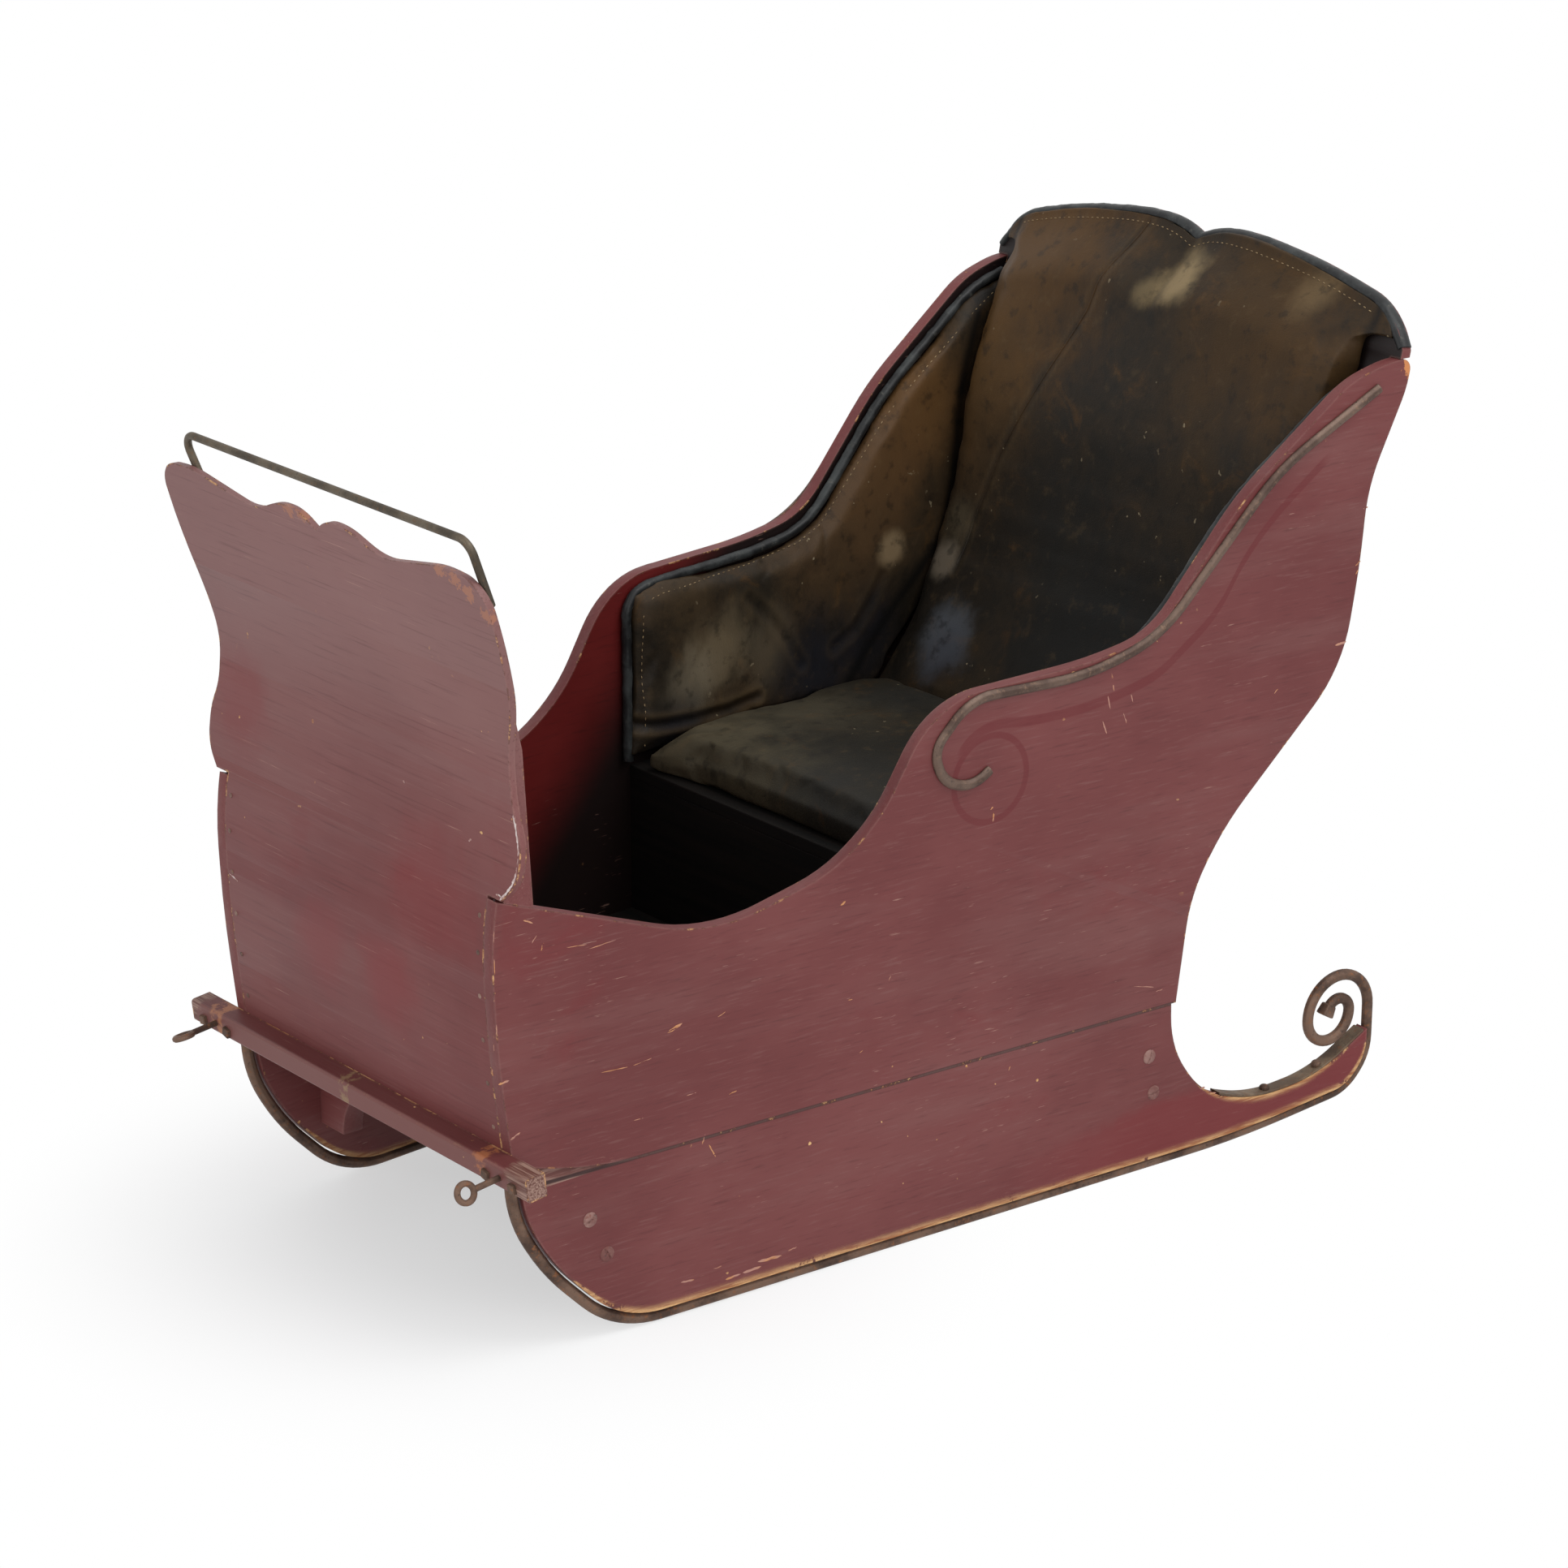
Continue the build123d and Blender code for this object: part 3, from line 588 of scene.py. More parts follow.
def ghost_of_trim(tree, where, facing, paint):
    x, _, z = axes_of(tree, where)
    station = minus(tree, front_x, x)
    first, last = ghost_line[0][0], ghost_line[-1][0]
    ends = {"Value": station, "From Min": first, "From Max": last}
    share = value_of(tree, "ShaderNodeMapRange", ends)
    profile = put(tree, "ShaderNodeFloatCurve", {"Factor": 1.0, "Value": share})
    points = profile.mapping.curves[0].points
    for point_station, point_height in ghost_line[1:-1]:
        points.new((point_station - first) / (last - first), point_height)
    points[0].location = (0.0, ghost_line[0][1])
    points[len(points) - 1].location = (1.0, ghost_line[-1][1])
    profile.mapping.update()
    aside = apart(tree, z, profile.outputs[0])
    line = step(tree, aside, 0.0052, 0.0034)
    span = times(tree, step(tree, station, first, first + 0.01), step(tree, station, last, last - 0.02))
    line = times(tree, line, span)
    ring_x = minus(tree, station, ghost_ring[0])
    ring_z = minus(tree, z, ghost_ring[1])
    squares = plus(tree, times(tree, ring_x, ring_x), times(tree, ring_z, ring_z))
    off_ring = apart(tree, calc(tree, "SQRT", squares), ghost_ring[2])
    mark = larger(tree, line, step(tree, off_ring, 0.0036, 0.0020))
    broken = times(tree, mark, scaled(tree, speckle(tree, where, 30.0, 3.0), 0.35, 1.0))
    paint = part_mixed(tree, broken, 0.8, paint, srgb(96, 26, 31))
    away = away_from(tree, where, tuple(bare_corner))
    away = plus(tree, away, scaled(tree, speckle(tree, where, 150.0, 4.0, 0.65), -0.012, 0.012))
    paint = blended(tree, away, 0.0105, 0.0085, paint, srgb(200, 130, 80))
    return joint_line(tree, z, paint)


def inside_of_side(tree, where, facing):
    return times(tree, times(tree, axes_of(tree, where)[1], axes_of(tree, facing)[1]), -1.0)


side_paint = worn_paint("side_paint", X, wear=0.03, inner=inside_of_side, extra=ghost_of_trim)
dress(("side_panel_left", "side_panel_right"), side_paint, 0.0014)

# Dash and back
# Thin boards bent to an S: the dash, with a cut crest, is nailed to the sides' front edges with a
# strip behind each of its own, and the back runs over the sides' tops. Both are dark red inside,
# and painted shade darkens the back's inside to near black.


def inside_of_dash(tree, where, facing):
    return times(tree, axes_of(tree, facing)[0], -0.2)


def inside_of_back(tree, where, facing):
    return times(tree, axes_of(tree, facing)[0], 0.2)


rubbed_crest = (
    (0.4619, -0.0328, 0.6565), (0.4592, -0.0145, 0.6563), (0.4616, 0.1659, 0.6554),
    (0.4606, 0.1851, 0.6523), (0.4583, 0.1999, 0.6442), (0.4541, 0.2158, 0.6298),
)
rubbed_patches = (  # centre, radius, strength
    ((0.437, -0.045, 0.285), 0.055, 0.55), ((0.437, 0.045, 0.283), 0.055, 0.65),
    ((0.437, 0.105, 0.375), 0.08, 0.45), ((0.428, -0.17, 0.46), 0.06, 0.5),
)


def rubbed_red(tree, where, facing, paint):
    for place, size, strength in rubbed_patches:
        away = away_from(tree, where, place)
        ragged = speckle(tree, where, 26.0, 5.0, 0.65)
        away = plus(tree, away, scaled(tree, ragged, -0.5 * size, 0.5 * size))
        paint = part_mixed(tree, step(tree, away, size, size * 0.2), strength, paint, srgb(118, 44, 46))
    flakes = speckle(tree, where, 210.0, 4.0, 0.65)
    for place in rubbed_crest:
        away = away_from(tree, where, place)
        away = plus(tree, away, scaled(tree, flakes, -0.013, 0.013))
        paint = tinted(tree, away, 0.0066, 0.0056, 0.8, paint, srgb(160, 106, 82))
    return paint


# The dash's paint is paler higher up: partly dust, partly a painted reflection.
dash_paint = worn_paint("dash_paint", Y, wear=0.06, dust_and_sheen=(0.30, 0.62), inner=inside_of_dash,
                        extra=rubbed_red)
dress(("dashboard", "dash_stile_left", "dash_stile_right"), dash_paint, 0.0010)
back_paint = worn_paint("back_paint", Y, wear=0.02, inner=inside_of_back)
dress(("back_panel",), back_paint, 0.0012)
nail_profile = ((0.0020, -0.0004), (0.0021, 0.0002), (0.0015, 0.0006), (0.0007, 0.0008))
nail_head = turned_head("nail_head", nail_profile, 10)
nail_iron = rusty_iron("nail_iron", srgb(96, 70, 62), srgb(150, 120, 108), srgb(150, 96, 70), metal=0.3)
dash_nails = []
for hand in (1, -1):
    for height in (0.200, 0.238, 0.275, 0.312, 0.348, 0.378):
        place, normal = touch_front("dashboard", hand * 0.1730, height)
        dash_nails.append((place, normal, (0, 0, 1), even_size))
back_nails = []
for hand in (1, -1):
    for height in (0.20, 0.26, 0.32, 0.38, 0.45, 0.52, 0.59, 0.65):
        place, normal = touch_rear("back_panel", hand * (0.218 + 0.03 * (height - 0.2)), height)
        back_nails.append((place, normal, (0, 0, 1), even_size))
seat_shapes("dash_nails", nail_head, dash_nails, nail_iron, "iron")
seat_shapes("back_nails", nail_head, back_nails, nail_iron, "iron")

# Cross bar and its iron
# A squared hardwood bar across the toes, with an eye bolt and two square nuts near each end. Its
# front is dulled and painted lighter where light falls, its other faces are painted darker as shade,
# flakes of its paint are gone, and both ends are split and bare.
bar_flakes = (  # place across, half width, strength, colour
    (-0.013, 0.008, 0.9, (140, 112, 84)),
    (0.174, 0.009, 0.7, (176, 110, 70)),
    (-0.199, 0.012, 0.75, (176, 118, 84)),
)


def worn_bar(tree, where, facing, paint):
    y = axes_of(tree, where)[Y]
    ahead = step(tree, axes_of(tree, facing)[0], 0.35, 0.75)
    fibres = stretched_speckle(tree, where, grain_along(Y, 20.0, 620.0), 4.0, 0.6)
    # Faces other than the front are painted darker as shade, and the front is painted lighter where light
    # falls, over dulled paint.
    paint = part_mixed(tree, ahead, 0.9, mixed(tree, 0.35, paint, srgb(74, 34, 32)), srgb(116, 72, 68))
    ragged = plus(tree, y, scaled(tree, speckle(tree, where, 60.0, 4.0, 0.65), -0.014, 0.014))
    ends = larger(tree, step(tree, ragged, 0.204, 0.214), step(tree, ragged, -0.222, -0.230))
    split_wood = blended(tree, fibres, 0.4, 0.62, srgb(158, 128, 114), srgb(96, 60, 52))
    paint = part_mixed(tree, ends, 0.85, paint, split_wood)
    flakes = speckle(tree, where, 110.0, 4.0, 0.65)
    for middle, half, strength, colour in bar_flakes:
        aside = apart(tree, ragged, middle)
        patch = times(tree, step(tree, aside, half, half * 0.5), step(tree, flakes, 0.42, 0.54))
        paint = part_mixed(tree, patch, strength, paint, srgb(*colour))
    return paint


bar_paint = worn_paint("bar_paint", Y, edge=0.003, wear=0.10, extra=worn_bar)
dress(("cross_bar",), bar_paint, 0.0012)
dress(("eye_bolt_left", "eye_bolt_right"), shoe_iron, 0.0006, angle=25.0, segments=3)
nut_profile = ((0.0064, -0.0008), (0.0068, 0.0004), (0.0066, 0.0034), (0.0056, 0.0042), (0.0020, 0.0044))
nut_size = (0.8, 0.8, 0.8)
square_nut = turned_head("square_nut", nut_profile, 4)
bar_nuts = []
for hand in (1, -1):
    for across, tilt in ((0.1830, 0.5), (0.2180, 0.9)):
        place, normal = touch_front("cross_bar", hand * across, 0.168)
        bar_nuts.append((place, normal, (0, math.cos(tilt), math.sin(tilt)), nut_size))
seat_shapes("bar_nuts", square_nut, bar_nuts, shoe_iron, "iron")

# Rail and trim
# A thin iron rail behind the dash's crest, and half round iron nailed along each arm.
rail_iron = rusty_iron("rail_iron", srgb(70, 62, 52), srgb(102, 92, 78), srgb(108, 82, 60),
                       metal=0.6, rough=0.5)
dress(("dash_rail",), rail_iron, 0.0008, angle=25.0, segments=3)
trim_iron = rusty_iron("trim_iron", srgb(72, 55, 47), srgb(104, 85, 74), srgb(126, 100, 82),
                       metal=0.5, rough=0.46)
dress(("trim_rod_left", "trim_rod_right"), trim_iron, 0.0010, angle=25.0, segments=3)

# Padding
# Leather over stuffing, tacked to the boards: a pad on each side, one on the back with a sewn
# seam, and a loose seat cushion. It is black and olive brown, rubbed pale where children leaned.


def old_leather(name, seen, dark, light, stains_and_sheen):
    material, tree, shader, where = new_finish(name, specular=0.17)
    clouds = speckle(tree, where, 8.0, 6.0, 0.62, 0.6)
    smears = stretched_speckle(tree, where, (26.0, 26.0, 15.0), 5.0, 0.6)
    mottle = speckle(tree, where, 62.0, 4.0, 0.6)
    grit = speckle(tree, where, 190.0, 4.0, 0.6)
    base = blended(tree, clouds, 0.36, 0.66, srgb(*dark), srgb(*light))
    blots = speckle(tree, where, 24.0, 6.0, 0.68, 0.8)
    base = tinted(tree, blots, 0.50, 0.30, 0.55, base, srgb(19, 17, 14))
    base = tinted(tree, blots, 0.54, 0.74, 0.45, base, srgb(90, 62, 30))
    face_on = value_of(tree, "ShaderNodeVectorMath", {0: where, 1: seen}, operation="MULTIPLY")
    # Each listed patch tints the leather: mostly stains, a few bluish ones a painted sheen.
    for place, size, softness, strength, colour in stains_and_sheen:
        middle = tuple(a * b for a, b in zip(place, seen))
        away = away_from(tree, face_on, middle)
        ragged = plus(tree, away, scaled(tree, smears, -0.55 * size, 0.55 * size))
        base = tinted(tree, ragged, size, size * (1 - softness), strength, base, srgb(*colour))
    base = tinted(tree, mottle, 0.47, 0.30, 0.5, base, srgb(18, 16, 13))
    base = tinted(tree, mottle, 0.56, 0.78, 0.16, base, srgb(110, 90, 62))
    rubbed = put(tree, "ShaderNodeAttribute", attribute_name="rubbed").outputs["Fac"]
    grime_and_shade = put(tree, "ShaderNodeAttribute", attribute_name="grime_and_shade").outputs["Fac"]
    rubbed = times(tree, rubbed, scaled(tree, mottle, 0.3, 1.0))
    base = part_mixed(tree, rubbed, 0.6, base, srgb(118, 98, 70))
    # The grime field darkens creases and the joins between pads: grime with painted shade.
    base = part_mixed(tree, grime_and_shade, 0.9, base, srgb(9, 9, 9))
    specks = step(tree, speckle(tree, where, 120.0, 2.0), 0.72, 0.75)
    specks = times(tree, specks, step(tree, clouds, 0.45, 0.6))
    base = part_mixed(tree, specks, 0.7, base, srgb(150, 136, 110))
    cells = {"Vector": where, "Scale": 330.0}
    pores = value_of(tree, "ShaderNodeTexVoronoi", cells, feature="DISTANCE_TO_EDGE")
    pores = scaled(tree, step(tree, pores, 0.0, 0.12), 0.0, 0.5)
    relief = plus(tree, pores, scaled(tree, grit, 0.0, 0.6))
    finish_with(tree, shader, base, scaled(tree, clouds, 0.42, 0.66), relief, 0.26, 0.0005)
    return material


back_stains_and_sheen = (  # centre, radius, softness, strength, colour
    ((-0.432, -0.17, 0.70), 0.17, 0.9, 0.7, (88, 60, 26)),
    ((-0.40, -0.19, 0.60), 0.12, 0.9, 0.65, (82, 58, 28)),
    ((-0.385, -0.20, 0.53), 0.09, 0.9, 0.5, (76, 58, 38)),
    ((-0.43, 0.12, 0.70), 0.15, 0.9, 0.55, (72, 50, 22)),
    ((-0.42, 0.19, 0.66), 0.10, 0.9, 0.45, (72, 50, 24)),
    ((-0.432, 0.018, 0.712), 0.030, 0.75, 0.85, (146, 126, 92)),
    ((-0.430, -0.012, 0.696), 0.020, 0.8, 0.6, (118, 102, 74)),
    ((-0.433, 0.164, 0.722), 0.028, 0.85, 0.5, (116, 96, 68)),
    ((-0.34, 0.0, 0.44), 0.17, 0.9, 0.75, (24, 23, 20)),
    ((-0.32, 0.06, 0.385), 0.16, 0.8, 0.8, (15, 15, 14)),
    # These two bluish patches low down are partly blue-grey bloom, partly a painted sheen of light.
    ((-0.29, -0.145, 0.367), 0.042, 0.8, 0.7, (90, 94, 100)),
    ((-0.276, -0.140, 0.354), 0.035, 0.8, 0.45, (40, 43, 54)),
    ((-0.351, -0.185, 0.424), 0.022, 0.7, 0.8, (112, 102, 88)),
    ((-0.373, -0.180, 0.463), 0.030, 0.9, 0.55, (94, 84, 66)),
)
side_stains_and_sheen = (
    ((-0.345, -0.219, 0.57), 0.09, 0.9, 0.8, (96, 68, 38)),
    ((-0.290, -0.215, 0.52), 0.09, 0.9, 0.7, (92, 66, 40)),
    ((-0.240, -0.212, 0.48), 0.09, 0.9, 0.55, (84, 62, 40)),
    ((-0.302, -0.216, 0.438), 0.021, 0.7, 0.9, (132, 112, 84)),
    ((-0.090, -0.201, 0.385), 0.055, 0.85, 0.8, (112, 98, 76)),
    ((-0.055, -0.199, 0.365), 0.045, 0.85, 0.6, (120, 110, 92)),
    ((-0.145, -0.205, 0.375), 0.05, 0.85, 0.6, (96, 86, 70)),
    # These dark bluish patches at the pad's foot are partly dark leather, partly a bluish painted sheen.
    ((-0.205, -0.209, 0.345), 0.075, 0.9, 0.8, (25, 28, 36)),
    ((-0.27, -0.214, 0.36), 0.06, 0.9, 0.7, (21, 23, 31)),
    ((-0.04, -0.198, 0.325), 0.05, 0.9, 0.75, (20, 22, 30)),
    ((-0.06, -0.199, 0.445), 0.05, 0.9, 0.4, (70, 56, 38)),
)
cushion_stains = (
    ((-0.03, -0.15, 0.335), 0.10, 0.95, 0.7, (92, 84, 66)),
    ((-0.13, -0.13, 0.34), 0.10, 0.95, 0.55, (78, 72, 58)),
    ((0.00, -0.06, 0.335), 0.10, 0.95, 0.55, (80, 72, 54)),
    ((-0.14, 0.05, 0.335), 0.11, 0.9, 0.65, (25, 23, 18)),
    ((-0.02, 0.13, 0.335), 0.14, 0.9, 0.7, (24, 22, 17)),
    ((-0.22, -0.10, 0.34), 0.07, 0.9, 0.6, (28, 30, 30)),
)
back_leather = old_leather("back_leather", (0, 1, 1), (29, 25, 20), (45, 35, 23), back_stains_and_sheen)
side_leather = old_leather("side_leather", (1, 0, 1), (38, 32, 24), (62, 48, 32), side_stains_and_sheen)
cushion_leather = old_leather("cushion_leather", (1, 1, 0), (27, 25, 19), (40, 35, 26), cushion_stains)


def read_out(rows, field):
    flat = np.empty(len(rows) * 3, np.float64)
    rows.foreach_get(field, flat)
    return flat.reshape(-1, 3)


def places(mesh):
    return read_out(mesh.vertices, "co")


def facings(mesh):
    return read_out(mesh.vertex_normals, "vector")


def set_places(mesh, points):
    mesh.vertices.foreach_set("co", np.ascontiguousarray(points, np.float32).ravel())
    mesh.update()


def baked(pad):
    pad.data = settled_mesh(pad)
    pad.modifiers.clear()


stuffing_pressure = 4.0
stuffing_frames = 20
skin_gap = 0.0004  # a held face stays this far inside its solid


def stuffed(name, node, material, voxel, inset, cap, held):
    shape = bmesh.new()
    shape.from_mesh(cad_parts[node].data)
    bmesh.ops.remove_doubles(shape, verts=shape.verts, dist=0.00002)
    skin = bpy.data.meshes.new(name)
    shape.to_mesh(skin)
    solid = BVHTree.FromBMesh(shape)
    shape.free()
    pad = bpy.data.objects.new(name, skin)
    scene.collection.objects.link(pad)
    even = pad.modifiers.new("even_skin", "REMESH")
    even.mode = "VOXEL"
    even.voxel_size = voxel
    baked(pad)
    smooth = pad.modifiers.new("soft_edges", "SMOOTH")
    smooth.factor = 0.5
    smooth.iterations = 6
    baked(pad)
    start = places(pad.data) - facings(pad.data) * inset
    set_places(pad.data, start)
    grown = start.copy()
    stuffing = pad.modifiers.new("stuffing", "CLOTH")
    stuffing.settings.quality = 4
    stuffing.settings.use_pressure = True
    stuffing.settings.uniform_pressure_force = stuffing_pressure
    stuffing.settings.effector_weights.gravity = 0.0
    stuffing.point_cache.frame_start = 1
    stuffing.point_cache.frame_end = stuffing_frames
    for frame_number in range(1, stuffing_frames + 1):
        scene.frame_set(frame_number)
    grown = places(settled_mesh(pad))
    pad.modifiers.clear()
    scene.frame_set(1)
    move = grown - start
    length = np.linalg.norm(move, axis=1, keepdims=True)
    grown = start + move * np.minimum(1.0, cap / np.maximum(length, 1e-9))
    for i, point in enumerate(grown):
        near, normal = solid.find_nearest(Vector(point))[:2]
        if held(normal) and (Vector(point) - near).dot(normal) > -skin_gap:
            grown[i] = near - normal * skin_gap
    set_places(pad.data, grown)
    finer = pad.modifiers.new("finer", "SUBSURF")
    finer.levels = finer.render_levels = 1
    baked(pad)
    pad.data.polygons.foreach_set("use_smooth", [True] * len(pad.data.polygons))
    pad.data.materials.clear()
    pad.data.materials.append(material)
    return pad


def marked(pad, field, values):
    kept = pad.data.attributes.get(field) or pad.data.attributes.new(field, "FLOAT", "POINT")
    before = np.zeros(len(values), np.float32)
    kept.data.foreach_get("value", before)
    kept.data.foreach_set("value", np.maximum(before, values).astype(np.float32))


def crease(pad, path, depth, width, facing, ridge=0.35, grime_and_shade=0.7):
    points, normals = places(pad.data), facings(pad.data)
    seen = np.array([not component for component in facing])
    seen_points, run = points[:, seen], np.array(path)[:, seen]
    nearest = np.full(len(points), 1.0)
    for a, b in zip(run, run[1:]):
        ab = b - a
        along = np.clip(((seen_points - a) @ ab) / (ab @ ab), 0, 1)
        nearest = np.minimum(nearest, np.linalg.norm(seen_points - a - along[:, None] * ab, axis=1))
    front = np.clip(normals @ np.array(facing) * 2.5, 0, 1)
    reach = nearest / width
    drop = -depth * np.exp(-reach ** 2) + ridge * depth * np.exp(-(reach - 2.0) ** 2 / 0.8)
    set_places(pad.data, points + normals * (drop * front)[:, None])
    # The crease's hollow is darkened: grime with painted shade.
    marked(pad, "grime_and_shade", grime_and_shade * np.exp(-(reach * 1.25) ** 2) * front)
    marked(pad, "rubbed", grime_and_shade * np.exp(-(reach - 1.9) ** 2 / 0.5) * front)


def rumple(pad, size, depth, seed):
    points = places(pad.data)
    offset = Vector((seed, seed * 1.7, seed * 0.3))
    waves = np.array([cloud(Vector(p) / size + offset) for p in points])
    set_places(pad.data, points + facings(pad.data) * (waves * depth)[:, None])


def eased_in(values, low, high):
    share = np.clip((values - low) / (high - low), 0, 1)
    return share * share * (3 - 2 * share)


def edge_of(points, along, across, pick, strip):
    strips = np.round(points[:, along] / strip).astype(int)
    shown = np.array(sorted(set(strips)))
    edge = [pick(points[strips == number, across]) for number in shown]
    return np.interp(points[:, along], shown * strip, edge)


cushion = stuffed("cushion_leather_seat", "seat_cushion", cushion_leather, 0.005, 0.003, 0.016,
                  lambda n: n.z < -0.5 or abs(n.y) > 0.7 or n.x < -0.5)
crown_rise, rim_drop, cushion_tuck = 0.009, 0.006, 0.042
lift_start, lift_run = 0.006, 0.016  # above the cushion's foot, where its shaping sets in
points = places(cushion.data)
cushion_low, cushion_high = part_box("seat_cushion")
across_share = points[:, 1] / cushion_high.y
along_share = (points[:, 0] - cushion_low.x) / (cushion_high.x - cushion_low.x) * 2 - 1
lift = np.clip((points[:, 2] - cushion_low.z - lift_start) / lift_run, 0, 1)
crown = np.clip(1 - across_share ** 2, 0, 1) ** 0.7
crown *= np.clip(1 - (0.92 * along_share) ** 2, 0, 1) ** 0.7
points[:, 2] += lift * (crown_rise * crown - rim_drop * (1 - crown))
points[:, 0] -= cushion_tuck * eased_in(-along_share, -0.6, 1.0) * (0.4 + 0.6 * lift)
set_places(cushion.data, points)
rumple(cushion, 0.09, 0.0020, 3.0)
upwards = (0, 0, 1)
for path, depth, width in (
    (((0.006, -0.186, 0.32), (-0.02, -0.168, 0.33), (-0.045, -0.140, 0.33)), 0.0014, 0.006),
    (((0.002, -0.188, 0.32), (-0.04, -0.180, 0.33)), 0.0012, 0.005),
):
    crease(cushion, path, depth, width, upwards, ridge=0.0, grime_and_shade=0.2)

back_skin = skins["back_panel"]
pad_inner = 0.0286  # side pad's inner face, in from the side's outer face
panel_reach = 0.234  # half the width in which the back board is met from the front


def met_from_front(skin, across, height):
    return skin.ray_cast(Vector((0.2, across, height)), Vector((-1, 0, 0)))[:2]


def on_panel(across):
    return min(max(across, -panel_reach), panel_reach)


def panel_front(across, height):
    place = met_from_front(back_skin, across, height)[0]
    return None if place is None else place.x


def crest_height(across):
    low, high = 0.60, 0.80
    for _ in range(16):
        middle = (low + high) / 2
        low, high = (low, middle) if panel_front(across, middle) is None else (middle, high)
    return low


crest_across = np.linspace(-0.2525, 0.2525, 91)
crest_top = np.array([crest_height(on_panel(across)) for across in crest_across])
crest_end_slope = 1.28
crest_top -= crest_end_slope * np.clip(np.abs(crest_across) - panel_reach, 0, None)


def crest_over(across):
    return np.interp(across, crest_across, crest_top)


back_fullness = (  # height, share of the plain pad's thickness
    (0.297, 0.24), (0.310, 0.28), (0.325, 0.33), (0.340, 0.39), (0.355, 0.48), (0.370, 0.58),
    (0.385, 0.69), (0.400, 0.80), (0.415, 0.94), (0.430, 1.10), (0.445, 1.21), (0.460, 1.27),
    (0.480, 1.25), (0.500, 1.22), (0.550, 1.17), (0.600, 1.12), (0.650, 1.07), (0.760, 1.04),
)
back = stuffed("back_leather_pad", "back_pad", back_leather, 0.006, 0.004, 0.009,
               lambda n: n.x < -0.35 or n.z < -0.6 or abs(n.y) > 0.75)
foot_spread, foot_ends = 0.025, (0.42, 0.52)  # share wider, and the heights between which that fades
head_spread, head_ends = 0.12, (0.684, 0.702)
head_start, crest_gap = 0.60, 0.0020  # the pad is drawn up to the crest from this height
crest_share, crest_run = 0.14, 0.060  # thickness left at the crest, and how far down it is full
pull, pull_run = 0.009, 0.018  # drawn in beside the side pads
least, pulled_from = 0.0008, 0.03
hollow_low, hollow_high, hollow_half = 0.33, 0.56, 0.205
hollow_passes = 60
points = places(back.data)
points[:, 1] *= 1 + foot_spread * (1 - eased_in(points[:, 2], *foot_ends))
points[:, 1] *= 1 + head_spread * eased_in(points[:, 2], *head_ends)
head_top = edge_of(points, Y, Z, np.max, 0.008)
short = crest_over(points[:, 1]) - crest_gap - head_top
points[:, 2] += short * eased_in(points[:, 2], head_start, head_top)
below = crest_over(points[:, 1]) - points[:, 2]
thin = crest_share + (1 - crest_share) * eased_in(below, 0.0, crest_run)
filled = np.interp(points[:, 2], *zip(*back_fullness))
aside = np.full(len(points), 1.0)
for hand in (1, -1):
    inner = side_point(0, 0, -pad_inner, hand)
    aside = np.minimum(aside, (np.array(inner) - points) @ np.array(out_of_side(hand)))
pulled = pull * np.clip(1 - aside / pull_run, 0, 1) ** 2
for i, (x, y, z) in enumerate(points):
    front = panel_front(on_panel(y), min(z, z + below[i] - 0.0005))
    if front is not None and x > front:
        thickness = (x - front) * thin[i] * filled[i]
        drawn_in = thickness - pulled[i] * min(1.0, thickness / pulled_from)
        points[i][0] = front + max(drawn_in, min(thickness, least))
set_places(back.data, points)
smoothing = bmesh.new()
smoothing.from_mesh(back.data)
hollow = [v for v in smoothing.verts
          if hollow_low < v.co.z < hollow_high and v.normal.x > 0.3 and abs(v.co.y) < hollow_half]
for _ in range(hollow_passes):
    bmesh.ops.smooth_vert(smoothing, verts=hollow, factor=0.5, use_axis_x=True)
smoothing.to_mesh(back.data)
smoothing.free()
rumple(back, 0.11, 0.0032, 8.0)
forwards = (1, 0, 0)
back_seam = (
    (-0.434, -0.057, 0.745), (-0.4333, -0.0614, 0.7211), (-0.4224, -0.0741, 0.6689),
    (-0.4045, -0.0958, 0.6230), (-0.3919, -0.1132, 0.5842), (-0.3845, -0.1415, 0.5267),
    (-0.3747, -0.1622, 0.4627), (-0.35, -0.168, 0.42),
)
crease(back, back_seam, 0.0006, 0.0030, forwards, grime_and_shade=0.25)

